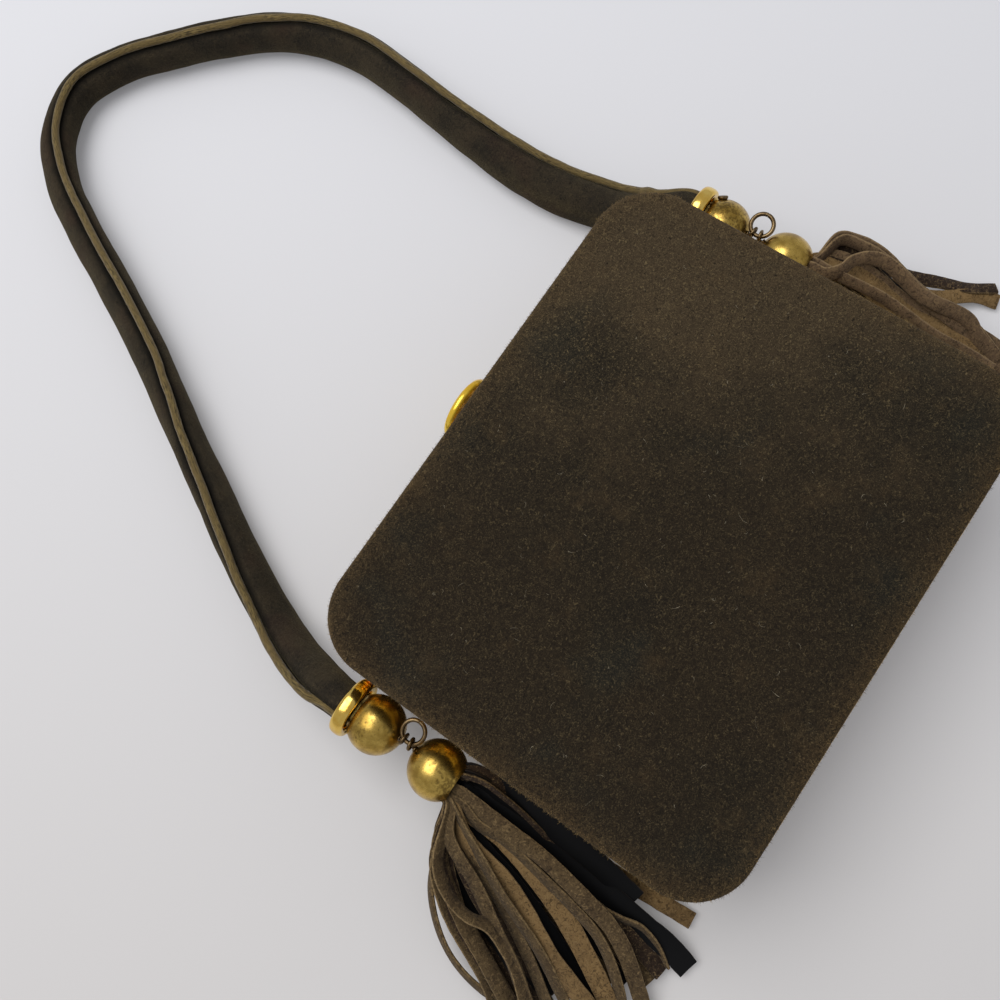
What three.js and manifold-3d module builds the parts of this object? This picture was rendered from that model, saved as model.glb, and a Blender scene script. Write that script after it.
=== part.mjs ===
// A hard minaudiere lying on its back: a suede-covered case in two halves, a padded velvet strap that runs
// through a ring on each side, and a brass ball, a jump ring, a second ball and a suede tassel at each end.
// Millimetres. The origin is the centre of the back face. +X runs to the wearer's right of the case as it
// lies, +Y towards the clasp at the top edge, +Z up out of the front face.
import * as THREE from 'three';
import { mergeVertices } from 'three/addons/utils/BufferGeometryUtils.js';
import Module from 'manifold-3d';

const wasm = await Module();
wasm.setup();

// Case
const CASE_WIDTH = 160;
const CASE_HEIGHT = 127.5;
const CASE_DEPTH = 50;
const BACK_DEPTH = 30;
const CORNER_RADIUS = 17.5;
const CORNER_STEPS = 6;
const EDGE_ROUND = 2.4;
const SUEDE_THICKNESS = 1.2;
const SHELL_THICKNESS = 2.0;
const LINING_THICKNESS = 0.8;
const FRAME_HEIGHT = 3.2;
const FRAME_ROUND = 0.5;
const FIT_GAP = 0.3;
const SEAM_GAP = 0.3;
const RUNNING_GAP = 0.08;

// Hinge along the bottom edge
const HINGE_LENGTH = 112;
const KNUCKLE_COUNT = 7;
const KNUCKLE_RADIUS = 1.3;
const KNUCKLE_GAP = 0.4;
const HINGE_PIN_RADIUS = 0.5;
const HINGE_HEAD_RADIUS = 1.05;
const HINGE_HEAD_LENGTH = 0.8;
const LEAF_THICKNESS = 0.6;
const LEAF_HEIGHT = 1.6;

// Everything fixed to the sides and to the top edge is centred at this height
const HARDWARE_HEIGHT = 24;

// Clasp at the middle of the top edge
const KNOB_RADIUS = 10.3;
const KNOB_THICKNESS = 3.4;
const KNOB_TRAVEL = 2.0;
const STEM_RADIUS = 2.5;
const STEM_HEAD_RADIUS = 3.4;
const STEM_HEAD_LENGTH = 0.8;
const BOSS_RADIUS = 7.0;
const BOSS_HEIGHT = 3.2;
const BOSS_FLOOR = 1.0;
const BOSS_CUP_RADIUS = 4.7;
const BOSS_SLEEVE_RADIUS = 3.6;
const SLEEVE_REACH = 2.4;
const SPRING_RADIUS = 3.6;
const SPRING_WIRE_RADIUS = 0.4;
const SPRING_TURNS = 3;
const LATCH_WIDTH = 10;
const LATCH_THICKNESS = 1.5;
const LATCH_DROP = 4;
const LATCH_NOSE_LENGTH = 0.8;
const LATCH_NOSE_HEIGHT = 1.5;
const LATCH_CLEARANCE = 0.4;
const KEEPER_WIDTH = 14;
const KEEPER_HEADROOM = 3.05;
const KEEPER_LIP_HEIGHT = 1.7;

// Side rings
const RING_Y = 46;
const RING_BORE_RADIUS = 6.4;
const RING_RADIUS = 9.0;
const RING_BAND_WIDTH = 4.3;
const RING_NECK_RADIUS = 1.9;
const RING_FLANGE_RADIUS = 3.6;
const RING_FLANGE_THICKNESS = 1.0;
const STUD_RADIUS = 1.6;
const NUT_RADIUS = 3.4;
const NUT_THICKNESS = 2.4;
const NUT_SEAT_GAP = 0.6;
const STUD_END = 1.0;

// Balls and links
const BALL_RADIUS = 8.6;
const BALL_SPACING = 4.4;
const BALL_SEAT_GAP = 0.5;
const PIN_RADIUS = 0.9;
const PIN_HEAD_RADIUS = 1.6;
const PIN_HEAD_HEIGHT = 0.7;
const PIN_PAST_CENTRE = 4.1;
const JUMP_RING_RADIUS = 3.35;
const JUMP_WIRE_RADIUS = 0.65;
const EYE_RADIUS = 1.6;
const EYE_WIRE_RADIUS = 0.45;
const EYE_SPREAD = 1.2;
const EYE_TILT = THREE.MathUtils.degToRad(8);
const SHANK_DEPTH = 3;
const LINK_REACH = 5.7;
const LINK_RISE = 4;

// Strap and piping
const STRAP_HALF_HEIGHT = 7.2;
const STRAP_HALF_THICKNESS = 6.0;
const STRAP_END_RADIUS = RING_BORE_RADIUS - 0.4;
const PIPING_RADIUS = 1.3;
const FLOOR_CLEARANCE = 0.4;

// Tassels
const TASSEL_NECK_RADIUS = 4.4;
const TASSEL_SOCKET_DEPTH = 5;
const TASSEL_SIDES = 14;

// Where the strap runs, from the left ring to the right one: x, y, height of its middle (or null where it
// lies on the floor), how far its piped edge leans in over the loop in degrees, and how much it is narrowed.
// The route is laid for rings ROUTE_RING_X from the middle, and spreads with them.
const RING_X = CASE_WIDTH / 2 + FIT_GAP + RING_FLANGE_THICKNESS + FIT_GAP + RING_RADIUS;
const ROUTE_RING_X = 90.6;
const STRAP_STATIONS = [
  { x: -ROUTE_RING_X, y: RING_Y - 3, z: HARDWARE_HEIGHT, lean: -50, narrow: 1 },
  { x: -ROUTE_RING_X, y: RING_Y + 4, z: HARDWARE_HEIGHT - 0.3, lean: -50, narrow: 1 },
  { x: -90.6, y: 58, z: 20.5, lean: -44, narrow: 0.4 },
  { x: -90, y: 66, z: 16, lean: -38, narrow: 0 },
  { x: -88.5, y: 76, z: 10.8, lean: -32, narrow: 0 },
  { x: -86, y: 85, z: null, lean: -28, narrow: 0 },
  { x: -80, y: 99, z: null, lean: -20, narrow: 0 },
  { x: -73, y: 114, z: null, lean: -8, narrow: 0 },
  { x: -65, y: 129, z: null, lean: -2, narrow: 0 },
  { x: -57, y: 145, z: null, lean: 6, narrow: 0 },
  { x: -48.5, y: 161, z: null, lean: 18, narrow: 0 },
  { x: -40, y: 177, z: null, lean: 26, narrow: 0 },
  { x: -32, y: 194, z: null, lean: 26, narrow: 0 },
  { x: -24, y: 212, z: null, lean: 24, narrow: 0 },
  { x: -15.5, y: 231, z: null, lean: 26, narrow: 0 },
  { x: -6, y: 249, z: null, lean: 28, narrow: 0 },
  { x: 8, y: 263, z: null, lean: 22, narrow: 0 },
  { x: 26, y: 268, z: null, lean: 12, narrow: 0 },
  { x: 43, y: 261, z: null, lean: 14, narrow: 0 },
  { x: 57, y: 248.5, z: null, lean: 10, narrow: 0 },
  { x: 70, y: 235, z: null, lean: 8, narrow: 0 },
  { x: 81.5, y: 220, z: null, lean: 0, narrow: 0 },
  { x: 89, y: 203, z: null, lean: -12, narrow: 0 },
  { x: 92, y: 184, z: null, lean: -16, narrow: 0 },
  { x: 90, y: 164, z: null, lean: -18, narrow: 0 },
  { x: 87, y: 145, z: null, lean: -24, narrow: 0 },
  { x: 84.3, y: 126, z: null, lean: -34, narrow: 0 },
  { x: 82.6, y: 108, z: null, lean: -46, narrow: 0 },
  { x: 83, y: 93, z: null, lean: -55, narrow: 0 },
  { x: 84.6, y: 81, z: 7.4, lean: -60, narrow: 0 },
  { x: 85.6, y: 70.5, z: 9.8, lean: -60, narrow: 0 },
  { x: 86.6, y: 62, z: 15, lean: -57, narrow: 0.3 },
  { x: 88.8, y: 55.4, z: 20.4, lean: -53, narrow: 0.8 },
  { x: ROUTE_RING_X, y: RING_Y + 4, z: HARDWARE_HEIGHT - 0.3, lean: -50, narrow: 1 },
  { x: ROUTE_RING_X, y: RING_Y - 3, z: HARDWARE_HEIGHT, lean: -50, narrow: 1 },
];
const PIPING_FIRST_STATION = 1.25;
const PIPING_LAST_STATION = STRAP_STATIONS.length - 1 - PIPING_FIRST_STATION;

// How a tassel widens and droops: distance from the ball's centre, how far out it has drifted, the height of
// its middle, its half width and its half thickness.
const TASSEL_STATIONS = [
  { along: BALL_RADIUS - TASSEL_SOCKET_DEPTH, out: 0, z: HARDWARE_HEIGHT, wide: TASSEL_NECK_RADIUS, thick: TASSEL_NECK_RADIUS },
  { along: BALL_RADIUS + 0.4, out: 0, z: HARDWARE_HEIGHT, wide: TASSEL_NECK_RADIUS, thick: TASSEL_NECK_RADIUS },
  { along: 14, out: 4, z: 21, wide: 9, thick: 7.5 },
  { along: 24, out: 10, z: 15.5, wide: 14.5, thick: 9 },
  { along: 38, out: 15, z: 10.6, wide: 19.5, thick: 9 },
  { along: 54, out: 18.5, z: 8.4, wide: 22.5, thick: 7.6 },
  { along: 72, out: 19.5, z: 6.8, wide: 23.5, thick: 6.2 },
  { along: 92, out: 19.5, z: 5.5, wide: 23.5, thick: 5 },
];

// The two chains differ only in how the jump ring has fallen and how the ball has turned in the strap's end.
const SIDES = [
  { name: 'left', sign: -1, linkLay: 10, pinTurn: -40 },
  { name: 'right', sign: 1, linkLay: 20, pinTurn: 40 },
];

const halfWidth = CASE_WIDTH / 2;
const halfHeight = CASE_HEIGHT / 2;
const wallThickness = SUEDE_THICKNESS + SHELL_THICKNESS + LINING_THICKNESS + 2 * FIT_GAP;
const frontDepth = CASE_DEPTH - BACK_DEPTH;
const stopperY = RING_Y - RING_BAND_WIDTH / 2 - BALL_SEAT_GAP - Math.sqrt(BALL_RADIUS ** 2 - RING_BORE_RADIUS ** 2);
const ballPitch = 2 * BALL_RADIUS + BALL_SPACING;
const linkY = stopperY - ballPitch / 2;
const tasselBallY = stopperY - ballPitch;

// Materials
function finish(color, roughness, metalness) {
  return new THREE.MeshStandardMaterial({ color, roughness, metalness });
}

const suede = () => finish(0x3c3226, 0.95, 0);
const board = () => finish(0x8a7a62, 0.9, 0);
const lining = () => finish(0x5a4630, 0.85, 0);
const gilt = () => finish(0xd9ae4a, 0.25, 1);
const antiqueBrass = () => finish(0xa07c30, 0.35, 1);
const bronzeWire = () => finish(0x46372a, 0.4, 1);
const steel = () => finish(0xb8b8b4, 0.35, 1);
const velvet = () => finish(0x32291f, 1, 0);
const cording = () => finish(0x735f37, 0.9, 0);
const suedeStrips = () => finish(0x6e583c, 0.95, 0);

// Solids: a closed geometry becomes a solid that can be cut and joined, and a mesh again at the end
function solidOf(geometry) {
  const bare = geometry.clone();
  bare.deleteAttribute('normal');
  bare.deleteAttribute('uv');
  const merged = mergeVertices(bare, 1e-4);
  return new wasm.Manifold(new wasm.Mesh({
    numProp: 3,
    vertProperties: new Float32Array(merged.attributes.position.array),
    triVerts: new Uint32Array(merged.index.array),
  }));
}

function meshOf(name, solid, material) {
  const data = solid.getMesh();
  const geometry = new THREE.BufferGeometry();
  geometry.setAttribute('position', new THREE.BufferAttribute(new Float32Array(data.vertProperties), 3));
  geometry.setIndex(new THREE.BufferAttribute(new Uint32Array(data.triVerts), 1));
  geometry.computeVertexNormals();
  const mesh = new THREE.Mesh(geometry, material);
  mesh.name = name;
  return mesh;
}

function roundedRect(inset) {
  const x = halfWidth - inset;
  const y = halfHeight - inset;
  const r = CORNER_RADIUS - inset;
  const shape = new THREE.Shape();
  shape.moveTo(x, -y + r);
  shape.absarc(x - r, y - r, r, 0, Math.PI / 2);
  shape.absarc(-x + r, y - r, r, Math.PI / 2, Math.PI);
  shape.absarc(-x + r, -y + r, r, Math.PI, 1.5 * Math.PI);
  shape.absarc(x - r, -y + r, r, 1.5 * Math.PI, 2 * Math.PI);
  return shape;
}

// A straight-sided block over the case's outline, inset all round, between two heights
function prism(inset, low, high) {
  const options = { depth: high - low, bevelEnabled: false, curveSegments: CORNER_STEPS };
  const geometry = new THREE.ExtrudeGeometry(roundedRect(inset), options);
  return solidOf(geometry.translate(0, 0, low));
}

// The same with its edges rounded at both ends
function roundedPrism(inset, low, high, round, steps) {
  const options = {
    depth: high - low - 2 * round,
    bevelEnabled: true,
    bevelThickness: round,
    bevelSize: round,
    bevelOffset: -round,
    bevelSegments: steps,
    curveSegments: CORNER_STEPS,
  };
  const geometry = new THREE.ExtrudeGeometry(roundedRect(inset), options);
  return solidOf(geometry.translate(0, 0, low + round));
}

function block(xLow, xHigh, yLow, yHigh, zLow, zHigh) {
  const geometry = new THREE.BoxGeometry(xHigh - xLow, yHigh - yLow, zHigh - zLow);
  return solidOf(geometry.translate((xLow + xHigh) / 2, (yLow + yHigh) / 2, (zLow + zHigh) / 2));
}

// A round rod between two points
function rod(start, end, radius, sides = 24) {
  const along = new THREE.Vector3().subVectors(end, start);
  const geometry = new THREE.CylinderGeometry(radius, radius, along.length(), sides);
  const turn = new THREE.Quaternion().setFromUnitVectors(new THREE.Vector3(0, 1, 0), along.clone().normalize());
  geometry.applyQuaternion(turn);
  const middle = new THREE.Vector3().addVectors(start, end).multiplyScalar(0.5);
  return solidOf(geometry.translate(middle.x, middle.y, middle.z));
}

function ball(centre, radius, segments = 18) {
  const geometry = new THREE.SphereGeometry(radius, segments, Math.round(segments * 0.6));
  return solidOf(geometry.translate(centre.x, centre.y, centre.z));
}

// A round wire ring around an axis
function wireRing(centre, axis, radius, wireRadius, wireSides, steps) {
  const geometry = new THREE.TorusGeometry(radius, wireRadius, wireSides, steps);
  const turn = new THREE.Quaternion().setFromUnitVectors(new THREE.Vector3(0, 0, 1), axis.clone().normalize());
  geometry.applyQuaternion(turn);
  return solidOf(geometry.translate(centre.x, centre.y, centre.z));
}

// A closed body through a row of rings of points, each ring the same length, with a flat cap at each end
function loft(rings) {
  const sides = rings[0].length;
  const points = rings.flat();
  const index = [];
  for (let row = 0; row < rings.length - 1; row += 1) {
    for (let k = 0; k < sides; k += 1) {
      const a = row * sides + k;
      const b = row * sides + (k + 1) % sides;
      index.push(a, b, a + sides, b, b + sides, a + sides);
    }
  }
  const last = (rings.length - 1) * sides;
  for (let k = 1; k < sides - 1; k += 1) {
    index.push(0, k + 1, k);
    index.push(last, last + k, last + k + 1);
  }
  const geometry = new THREE.BufferGeometry().setFromPoints(points);
  geometry.setIndex(index);
  return solidOf(geometry);
}

// Case halves, each built with its face at height 0 and its mouth up
function suedeCover(depth) {
  const top = depth - SEAM_GAP / 2 - FRAME_HEIGHT - FIT_GAP;
  const outside = roundedPrism(0, 0, top + 2 * EDGE_ROUND, EDGE_ROUND, 3);
  const above = block(-halfWidth, halfWidth, -halfHeight, halfHeight, top, top + CASE_DEPTH);
  return outside.subtract(above).subtract(prism(SUEDE_THICKNESS, SUEDE_THICKNESS, depth));
}

function shell(depth) {
  const inset = SUEDE_THICKNESS + FIT_GAP;
  const top = depth - SEAM_GAP / 2 - FRAME_HEIGHT - FIT_GAP;
  return prism(inset, inset, top).subtract(prism(inset + SHELL_THICKNESS, inset + SHELL_THICKNESS, depth));
}

function liningTray(depth) {
  const inset = wallThickness - LINING_THICKNESS;
  const top = depth - SEAM_GAP / 2 - FRAME_HEIGHT - FIT_GAP;
  return prism(inset, inset, top).subtract(prism(wallThickness, wallThickness, depth));
}

function mouthFrame(depth) {
  const top = depth - SEAM_GAP / 2;
  const band = roundedPrism(0, top - FRAME_HEIGHT, top, FRAME_ROUND, 1);
  return band.subtract(prism(wallThickness, 0, CASE_DEPTH));
}

// The holes that the ring studs and the clasp's sleeve pass through
function wallHoles() {
  const holes = SIDES.map((side) => rod(
    new THREE.Vector3(side.sign * (halfWidth + 1), RING_Y, HARDWARE_HEIGHT),
    new THREE.Vector3(side.sign * (halfWidth - wallThickness - 1), RING_Y, HARDWARE_HEIGHT),
    STUD_RADIUS + FIT_GAP,
    12,
  ));
  holes.push(rod(
    new THREE.Vector3(0, halfHeight + 1, HARDWARE_HEIGHT),
    new THREE.Vector3(0, halfHeight - wallThickness - 1, HARDWARE_HEIGHT),
    BOSS_SLEEVE_RADIUS + FIT_GAP,
    16,
  ));
  return holes;
}

function backHalf() {
  const group = new THREE.Group();
  const holes = wallHoles();
  const drilled = (solid) => holes.reduce((rest, hole) => rest.subtract(hole), solid);
  group.add(meshOf('back_suede_cover', drilled(suedeCover(BACK_DEPTH)), suede()));
  group.add(meshOf('back_shell', drilled(shell(BACK_DEPTH)), board()));
  group.add(meshOf('back_lining', drilled(liningTray(BACK_DEPTH)), lining()));
  group.add(meshOf('back_mouth_frame', drilled(mouthFrame(BACK_DEPTH)), gilt()));
  return group;
}

// The front half is the same tray turned over about X, so that its mouth meets the back's
function frontHalf() {
  const group = new THREE.Group();
  group.add(meshOf('front_suede_cover', suedeCover(frontDepth), suede()));
  group.add(meshOf('front_shell', shell(frontDepth), board()));
  group.add(meshOf('front_lining', liningTray(frontDepth), lining()));
  group.add(meshOf('front_mouth_frame', mouthFrame(frontDepth), gilt()));
  group.rotation.x = Math.PI;
  group.position.z = CASE_DEPTH;
  return group;
}

// Hinge: two strip leaves on the mouth frames, with knuckles that take turns along one pin
const hingeY = -halfHeight - FIT_GAP - KNUCKLE_RADIUS;
const knucklePitch = HINGE_LENGTH / KNUCKLE_COUNT;

function knuckle(number) {
  const start = -HINGE_LENGTH / 2 + number * knucklePitch + KNUCKLE_GAP / 2;
  const end = start + knucklePitch - KNUCKLE_GAP;
  return { start, end };
}

function hingeLeaf(up, firstKnuckle) {
  const outer = -halfHeight - FIT_GAP;
  const edge = BACK_DEPTH + up * (KNUCKLE_RADIUS + 2 * FIT_GAP);
  const far = edge + up * LEAF_HEIGHT;
  let leaf = block(
    -HINGE_LENGTH / 2,
    HINGE_LENGTH / 2,
    outer - LEAF_THICKNESS,
    outer,
    Math.min(edge, far),
    Math.max(edge, far),
  );
  for (let number = firstKnuckle; number < KNUCKLE_COUNT; number += 2) {
    const { start, end } = knuckle(number);
    const centre = (x) => new THREE.Vector3(x, hingeY, BACK_DEPTH);
    const tab = block(
      start,
      end,
      outer - LEAF_THICKNESS,
      outer,
      Math.min(BACK_DEPTH, edge + up * 0.1),
      Math.max(BACK_DEPTH, edge + up * 0.1),
    );
    leaf = leaf.add(tab).add(rod(centre(start), centre(end), KNUCKLE_RADIUS, 12));
  }
  const bore = rod(
    new THREE.Vector3(-HINGE_LENGTH, hingeY, BACK_DEPTH),
    new THREE.Vector3(HINGE_LENGTH, hingeY, BACK_DEPTH),
    HINGE_PIN_RADIUS + RUNNING_GAP,
    12,
  );
  return leaf.subtract(bore);
}

function hinge() {
  const group = new THREE.Group();
  group.add(meshOf('hinge_leaf_back', hingeLeaf(-1, 0), gilt()));
  group.add(meshOf('hinge_leaf_front', hingeLeaf(1, 1), gilt()));
  const shoulder = HINGE_LENGTH / 2 + 0.1;
  const centre = (x) => new THREE.Vector3(x, hingeY, BACK_DEPTH);
  const pin = rod(centre(-shoulder - 0.2), centre(shoulder + 0.2), HINGE_PIN_RADIUS, 12)
    .add(rod(centre(-shoulder - HINGE_HEAD_LENGTH), centre(-shoulder), HINGE_HEAD_RADIUS, 12))
    .add(rod(centre(shoulder), centre(shoulder + HINGE_HEAD_LENGTH), HINGE_HEAD_RADIUS, 12));
  group.add(meshOf('hinge_pin', pin, steel()));
  return group;
}

// Clasp: a sprung knob whose stem runs through a boss in the top wall and carries the latch inside
const bossBase = halfHeight + FIT_GAP;
const bossTop = bossBase + BOSS_HEIGHT;
const knobBack = bossTop + KNOB_TRAVEL + 0.2;
const sleeveEnd = halfHeight - wallThickness - SLEEVE_REACH;
const latchFront = sleeveEnd - FIT_GAP;
const latchBack = latchFront - LATCH_THICKNESS;
const stemEnd = latchBack - FIT_GAP - STEM_HEAD_LENGTH;
const seamTop = BACK_DEPTH + SEAM_GAP / 2;

function turned(profile, segments) {
  const points = profile.map(([radius, y]) => new THREE.Vector2(radius, y));
  return solidOf(new THREE.LatheGeometry(points, segments).translate(0, 0, HARDWARE_HEIGHT));
}

function claspBoss() {
  const bore = STEM_RADIUS + RUNNING_GAP;
  return turned([
    [bore, sleeveEnd],
    [BOSS_SLEEVE_RADIUS, sleeveEnd],
    [BOSS_SLEEVE_RADIUS, bossBase],
    [BOSS_RADIUS, bossBase],
    [BOSS_RADIUS, bossBase + BOSS_FLOOR],
    [BOSS_RADIUS - 0.6, bossTop - 0.4],
    [BOSS_RADIUS - 1, bossTop],
    [BOSS_CUP_RADIUS, bossTop],
    [BOSS_CUP_RADIUS, bossBase + BOSS_FLOOR],
    [bore, bossBase + BOSS_FLOOR],
    [bore, sleeveEnd],
  ], 20);
}

function claspKnob() {
  const face = knobBack + KNOB_THICKNESS;
  return turned([
    [0, stemEnd],
    [STEM_HEAD_RADIUS, stemEnd],
    [STEM_HEAD_RADIUS, stemEnd + STEM_HEAD_LENGTH],
    [STEM_RADIUS, stemEnd + STEM_HEAD_LENGTH],
    [STEM_RADIUS, knobBack],
    [KNOB_RADIUS - 1.4, knobBack],
    [KNOB_RADIUS - 0.3, knobBack + 0.6],
    [KNOB_RADIUS, knobBack + 1.2],
    [KNOB_RADIUS - 0.2, knobBack + 1.9],
    [KNOB_RADIUS - 1.2, face - 0.8],
    [KNOB_RADIUS * 0.6, face - 0.2],
    [0, face],
  ], 28);
}

class Helix extends THREE.Curve {
  constructor(radius, turns, start, end) {
    super();
    Object.assign(this, { radius, turns, start, end });
  }

  getPoint(t, target = new THREE.Vector3()) {
    const angle = 2 * Math.PI * this.turns * t;
    const y = this.start + (this.end - this.start) * t;
    return target.set(this.radius * Math.cos(angle), y, HARDWARE_HEIGHT + this.radius * Math.sin(angle));
  }
}

function claspSpring() {
  const reach = SPRING_WIRE_RADIUS + FIT_GAP;
  const path = new Helix(SPRING_RADIUS, SPRING_TURNS, bossBase + BOSS_FLOOR + reach, knobBack - reach);
  const wire = new THREE.Shape();
  wire.absarc(0, 0, SPRING_WIRE_RADIUS, 0, 2 * Math.PI);
  const options = { steps: 10 * SPRING_TURNS, extrudePath: path, curveSegments: 3 };
  return solidOf(new THREE.ExtrudeGeometry(wire, options));
}

// The latch's nose stands over the keeper's lip, drawn clear of it by LATCH_CLEARANCE
const keeperTop = CASE_DEPTH - wallThickness - KEEPER_HEADROOM;
const lipLow = seamTop + 0.6;
const noseLow = lipLow + KEEPER_LIP_HEIGHT + FIT_GAP;
const noseTip = latchFront + LATCH_NOSE_LENGTH;

function claspLatch() {
  const plate = block(
    -LATCH_WIDTH / 2,
    LATCH_WIDTH / 2,
    latchBack,
    latchFront,
    HARDWARE_HEIGHT - LATCH_DROP,
    noseLow + LATCH_NOSE_HEIGHT,
  );
  const nose = block(
    -LATCH_WIDTH / 2,
    LATCH_WIDTH / 2,
    latchFront - 0.1,
    noseTip,
    noseLow,
    noseLow + LATCH_NOSE_HEIGHT,
  );
  const hole = rod(
    new THREE.Vector3(0, latchBack - 1, HARDWARE_HEIGHT),
    new THREE.Vector3(0, noseTip + 1, HARDWARE_HEIGHT),
    STEM_RADIUS + FIT_GAP,
  );
  return plate.add(nose).subtract(hole);
}

function claspKeeper() {
  const wall = halfHeight - wallThickness - FIT_GAP;
  const plate = block(-KEEPER_WIDTH / 2, KEEPER_WIDTH / 2, wall - 1, wall, lipLow, keeperTop);
  const lip = block(
    -KEEPER_WIDTH / 2,
    KEEPER_WIDTH / 2,
    noseTip + LATCH_CLEARANCE,
    wall - 0.5,
    lipLow,
    lipLow + KEEPER_LIP_HEIGHT,
  );
  return plate.add(lip);
}

function clasp() {
  const group = new THREE.Group();
  group.add(meshOf('clasp_boss', claspBoss(), gilt()));
  group.add(meshOf('clasp_knob', claspKnob(), gilt()));
  group.add(meshOf('clasp_spring', claspSpring(), steel()));
  group.add(meshOf('clasp_latch', claspLatch(), steel()));
  group.add(meshOf('clasp_keeper', claspKeeper(), steel()));
  return group;
}

// Side rings: a rounded band, its neck and flange, and a stud through the wall with a nut inside
function sideRing(side) {
  const half = (RING_RADIUS - RING_BORE_RADIUS) / 2;
  const middle = RING_BORE_RADIUS + half;
  const profile = new THREE.EllipseCurve(middle, RING_Y, half, RING_BAND_WIDTH / 2, 0, 2 * Math.PI);
  const band = new THREE.LatheGeometry(profile.getPoints(12), 24);
  band.translate(side.sign * RING_X, 0, HARDWARE_HEIGHT);
  const at = (x) => new THREE.Vector3(side.sign * x, RING_Y, HARDWARE_HEIGHT);
  const flange = halfWidth + FIT_GAP;
  return solidOf(band)
    .add(rod(at(RING_X - RING_RADIUS + half), at(flange + 0.2), RING_NECK_RADIUS, 12))
    .add(rod(at(flange + RING_FLANGE_THICKNESS), at(flange), RING_FLANGE_RADIUS, 16))
    .add(rod(at(flange + 0.2), at(nutInside() - STUD_END), STUD_RADIUS, 12));
}

function nutInside() {
  return halfWidth - wallThickness - NUT_SEAT_GAP - NUT_THICKNESS;
}

function sideRingNut(side) {
  const at = (x) => new THREE.Vector3(side.sign * x, RING_Y, HARDWARE_HEIGHT);
  return rod(at(nutInside() + NUT_THICKNESS), at(nutInside()), NUT_RADIUS, 6)
    .subtract(rod(at(halfWidth), at(0), STUD_RADIUS + FIT_GAP, 12));
}

// Where a point of the chain lies: reach out of the chain's line, rise square to that, and y
function chainPoint(side, reach, rise, y) {
  const lay = THREE.MathUtils.degToRad(side.linkLay);
  return new THREE.Vector3(
    side.sign * RING_X + reach * Math.cos(lay) - rise * Math.sin(lay),
    y,
    HARDWARE_HEIGHT + reach * Math.sin(lay) + rise * Math.cos(lay),
  );
}

// An eye stands on its ball with its hole around the jump ring's wire; end is 1 on the stopper, -1 below
const eyeReach = LINK_REACH - Math.sqrt(JUMP_RING_RADIUS ** 2 - EYE_SPREAD ** 2);
const eyeFromLine = Math.hypot(eyeReach, LINK_RISE);
const shankShare = 1 - EYE_RADIUS / eyeFromLine;

function shank(side, end, radius, deeper = 0) {
  const ballY = linkY + end * ballPitch / 2;
  const surface = ballY - end * Math.sqrt(BALL_RADIUS ** 2 - (shankShare * eyeFromLine) ** 2);
  const point = (y) => chainPoint(side, eyeReach * shankShare, LINK_RISE * shankShare, y);
  return rod(point(linkY + end * EYE_SPREAD), point(surface + end * (SHANK_DEPTH + deeper)), radius, 8);
}

function eye(side, end) {
  const centre = chainPoint(side, eyeReach, LINK_RISE, linkY + end * EYE_SPREAD);
  const reachWay = chainPoint(side, 1, 0, 0).sub(chainPoint(side, 0, 0, 0));
  const axis = new THREE.Vector3(0, Math.cos(EYE_TILT), 0).addScaledVector(reachWay, end * Math.sin(EYE_TILT));
  return wireRing(centre, axis, EYE_RADIUS, EYE_WIRE_RADIUS, 6, 14).add(shank(side, end, EYE_WIRE_RADIUS));
}

function jumpRing(side) {
  const axis = chainPoint(side, 0, 1, 0).sub(chainPoint(side, 0, 0, 0));
  const centre = chainPoint(side, LINK_REACH, LINK_RISE, linkY);
  return wireRing(centre, axis, JUMP_RING_RADIUS, JUMP_WIRE_RADIUS, 6, 22);
}

// The pin's head stands as close under the ring as it can without touching it
function stopperPin(side, gap = 0) {
  const reach = BALL_RADIUS + FIT_GAP + PIN_HEAD_HEIGHT;
  const rise = Math.asin((RING_Y - RING_BAND_WIDTH / 2 - FIT_GAP - PIN_HEAD_RADIUS - stopperY) / reach);
  const turn = THREE.MathUtils.degToRad(side.pinTurn);
  const way = new THREE.Vector3(side.sign * Math.cos(turn), Math.tan(rise), Math.sin(turn)).normalize();
  const centre = new THREE.Vector3(side.sign * RING_X, stopperY, HARDWARE_HEIGHT);
  const at = (distance) => centre.clone().addScaledVector(way, distance);
  const surface = BALL_RADIUS + FIT_GAP;
  const shaft = rod(at(surface + gap), at(-PIN_PAST_CENTRE - gap), PIN_RADIUS + gap, 8);
  return shaft.add(rod(at(surface + PIN_HEAD_HEIGHT + gap), at(surface - 0.05), PIN_HEAD_RADIUS + gap, 12));
}

function stopperBall(side) {
  const centre = new THREE.Vector3(side.sign * RING_X, stopperY, HARDWARE_HEIGHT);
  return ball(centre, BALL_RADIUS)
    .subtract(shank(side, 1, EYE_WIRE_RADIUS + FIT_GAP, FIT_GAP))
    .subtract(stopperPin(side, FIT_GAP));
}

function tasselBall(side) {
  const centre = new THREE.Vector3(side.sign * RING_X, tasselBallY, HARDWARE_HEIGHT);
  const at = (y) => new THREE.Vector3(side.sign * RING_X, y, HARDWARE_HEIGHT);
  const socketEnd = tasselBallY - BALL_RADIUS + TASSEL_SOCKET_DEPTH + FIT_GAP;
  return ball(centre, BALL_RADIUS)
    .subtract(shank(side, -1, EYE_WIRE_RADIUS + FIT_GAP, FIT_GAP))
    .subtract(rod(at(tasselBallY - 2 * BALL_RADIUS), at(socketEnd), TASSEL_NECK_RADIUS + FIT_GAP));
}

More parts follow.
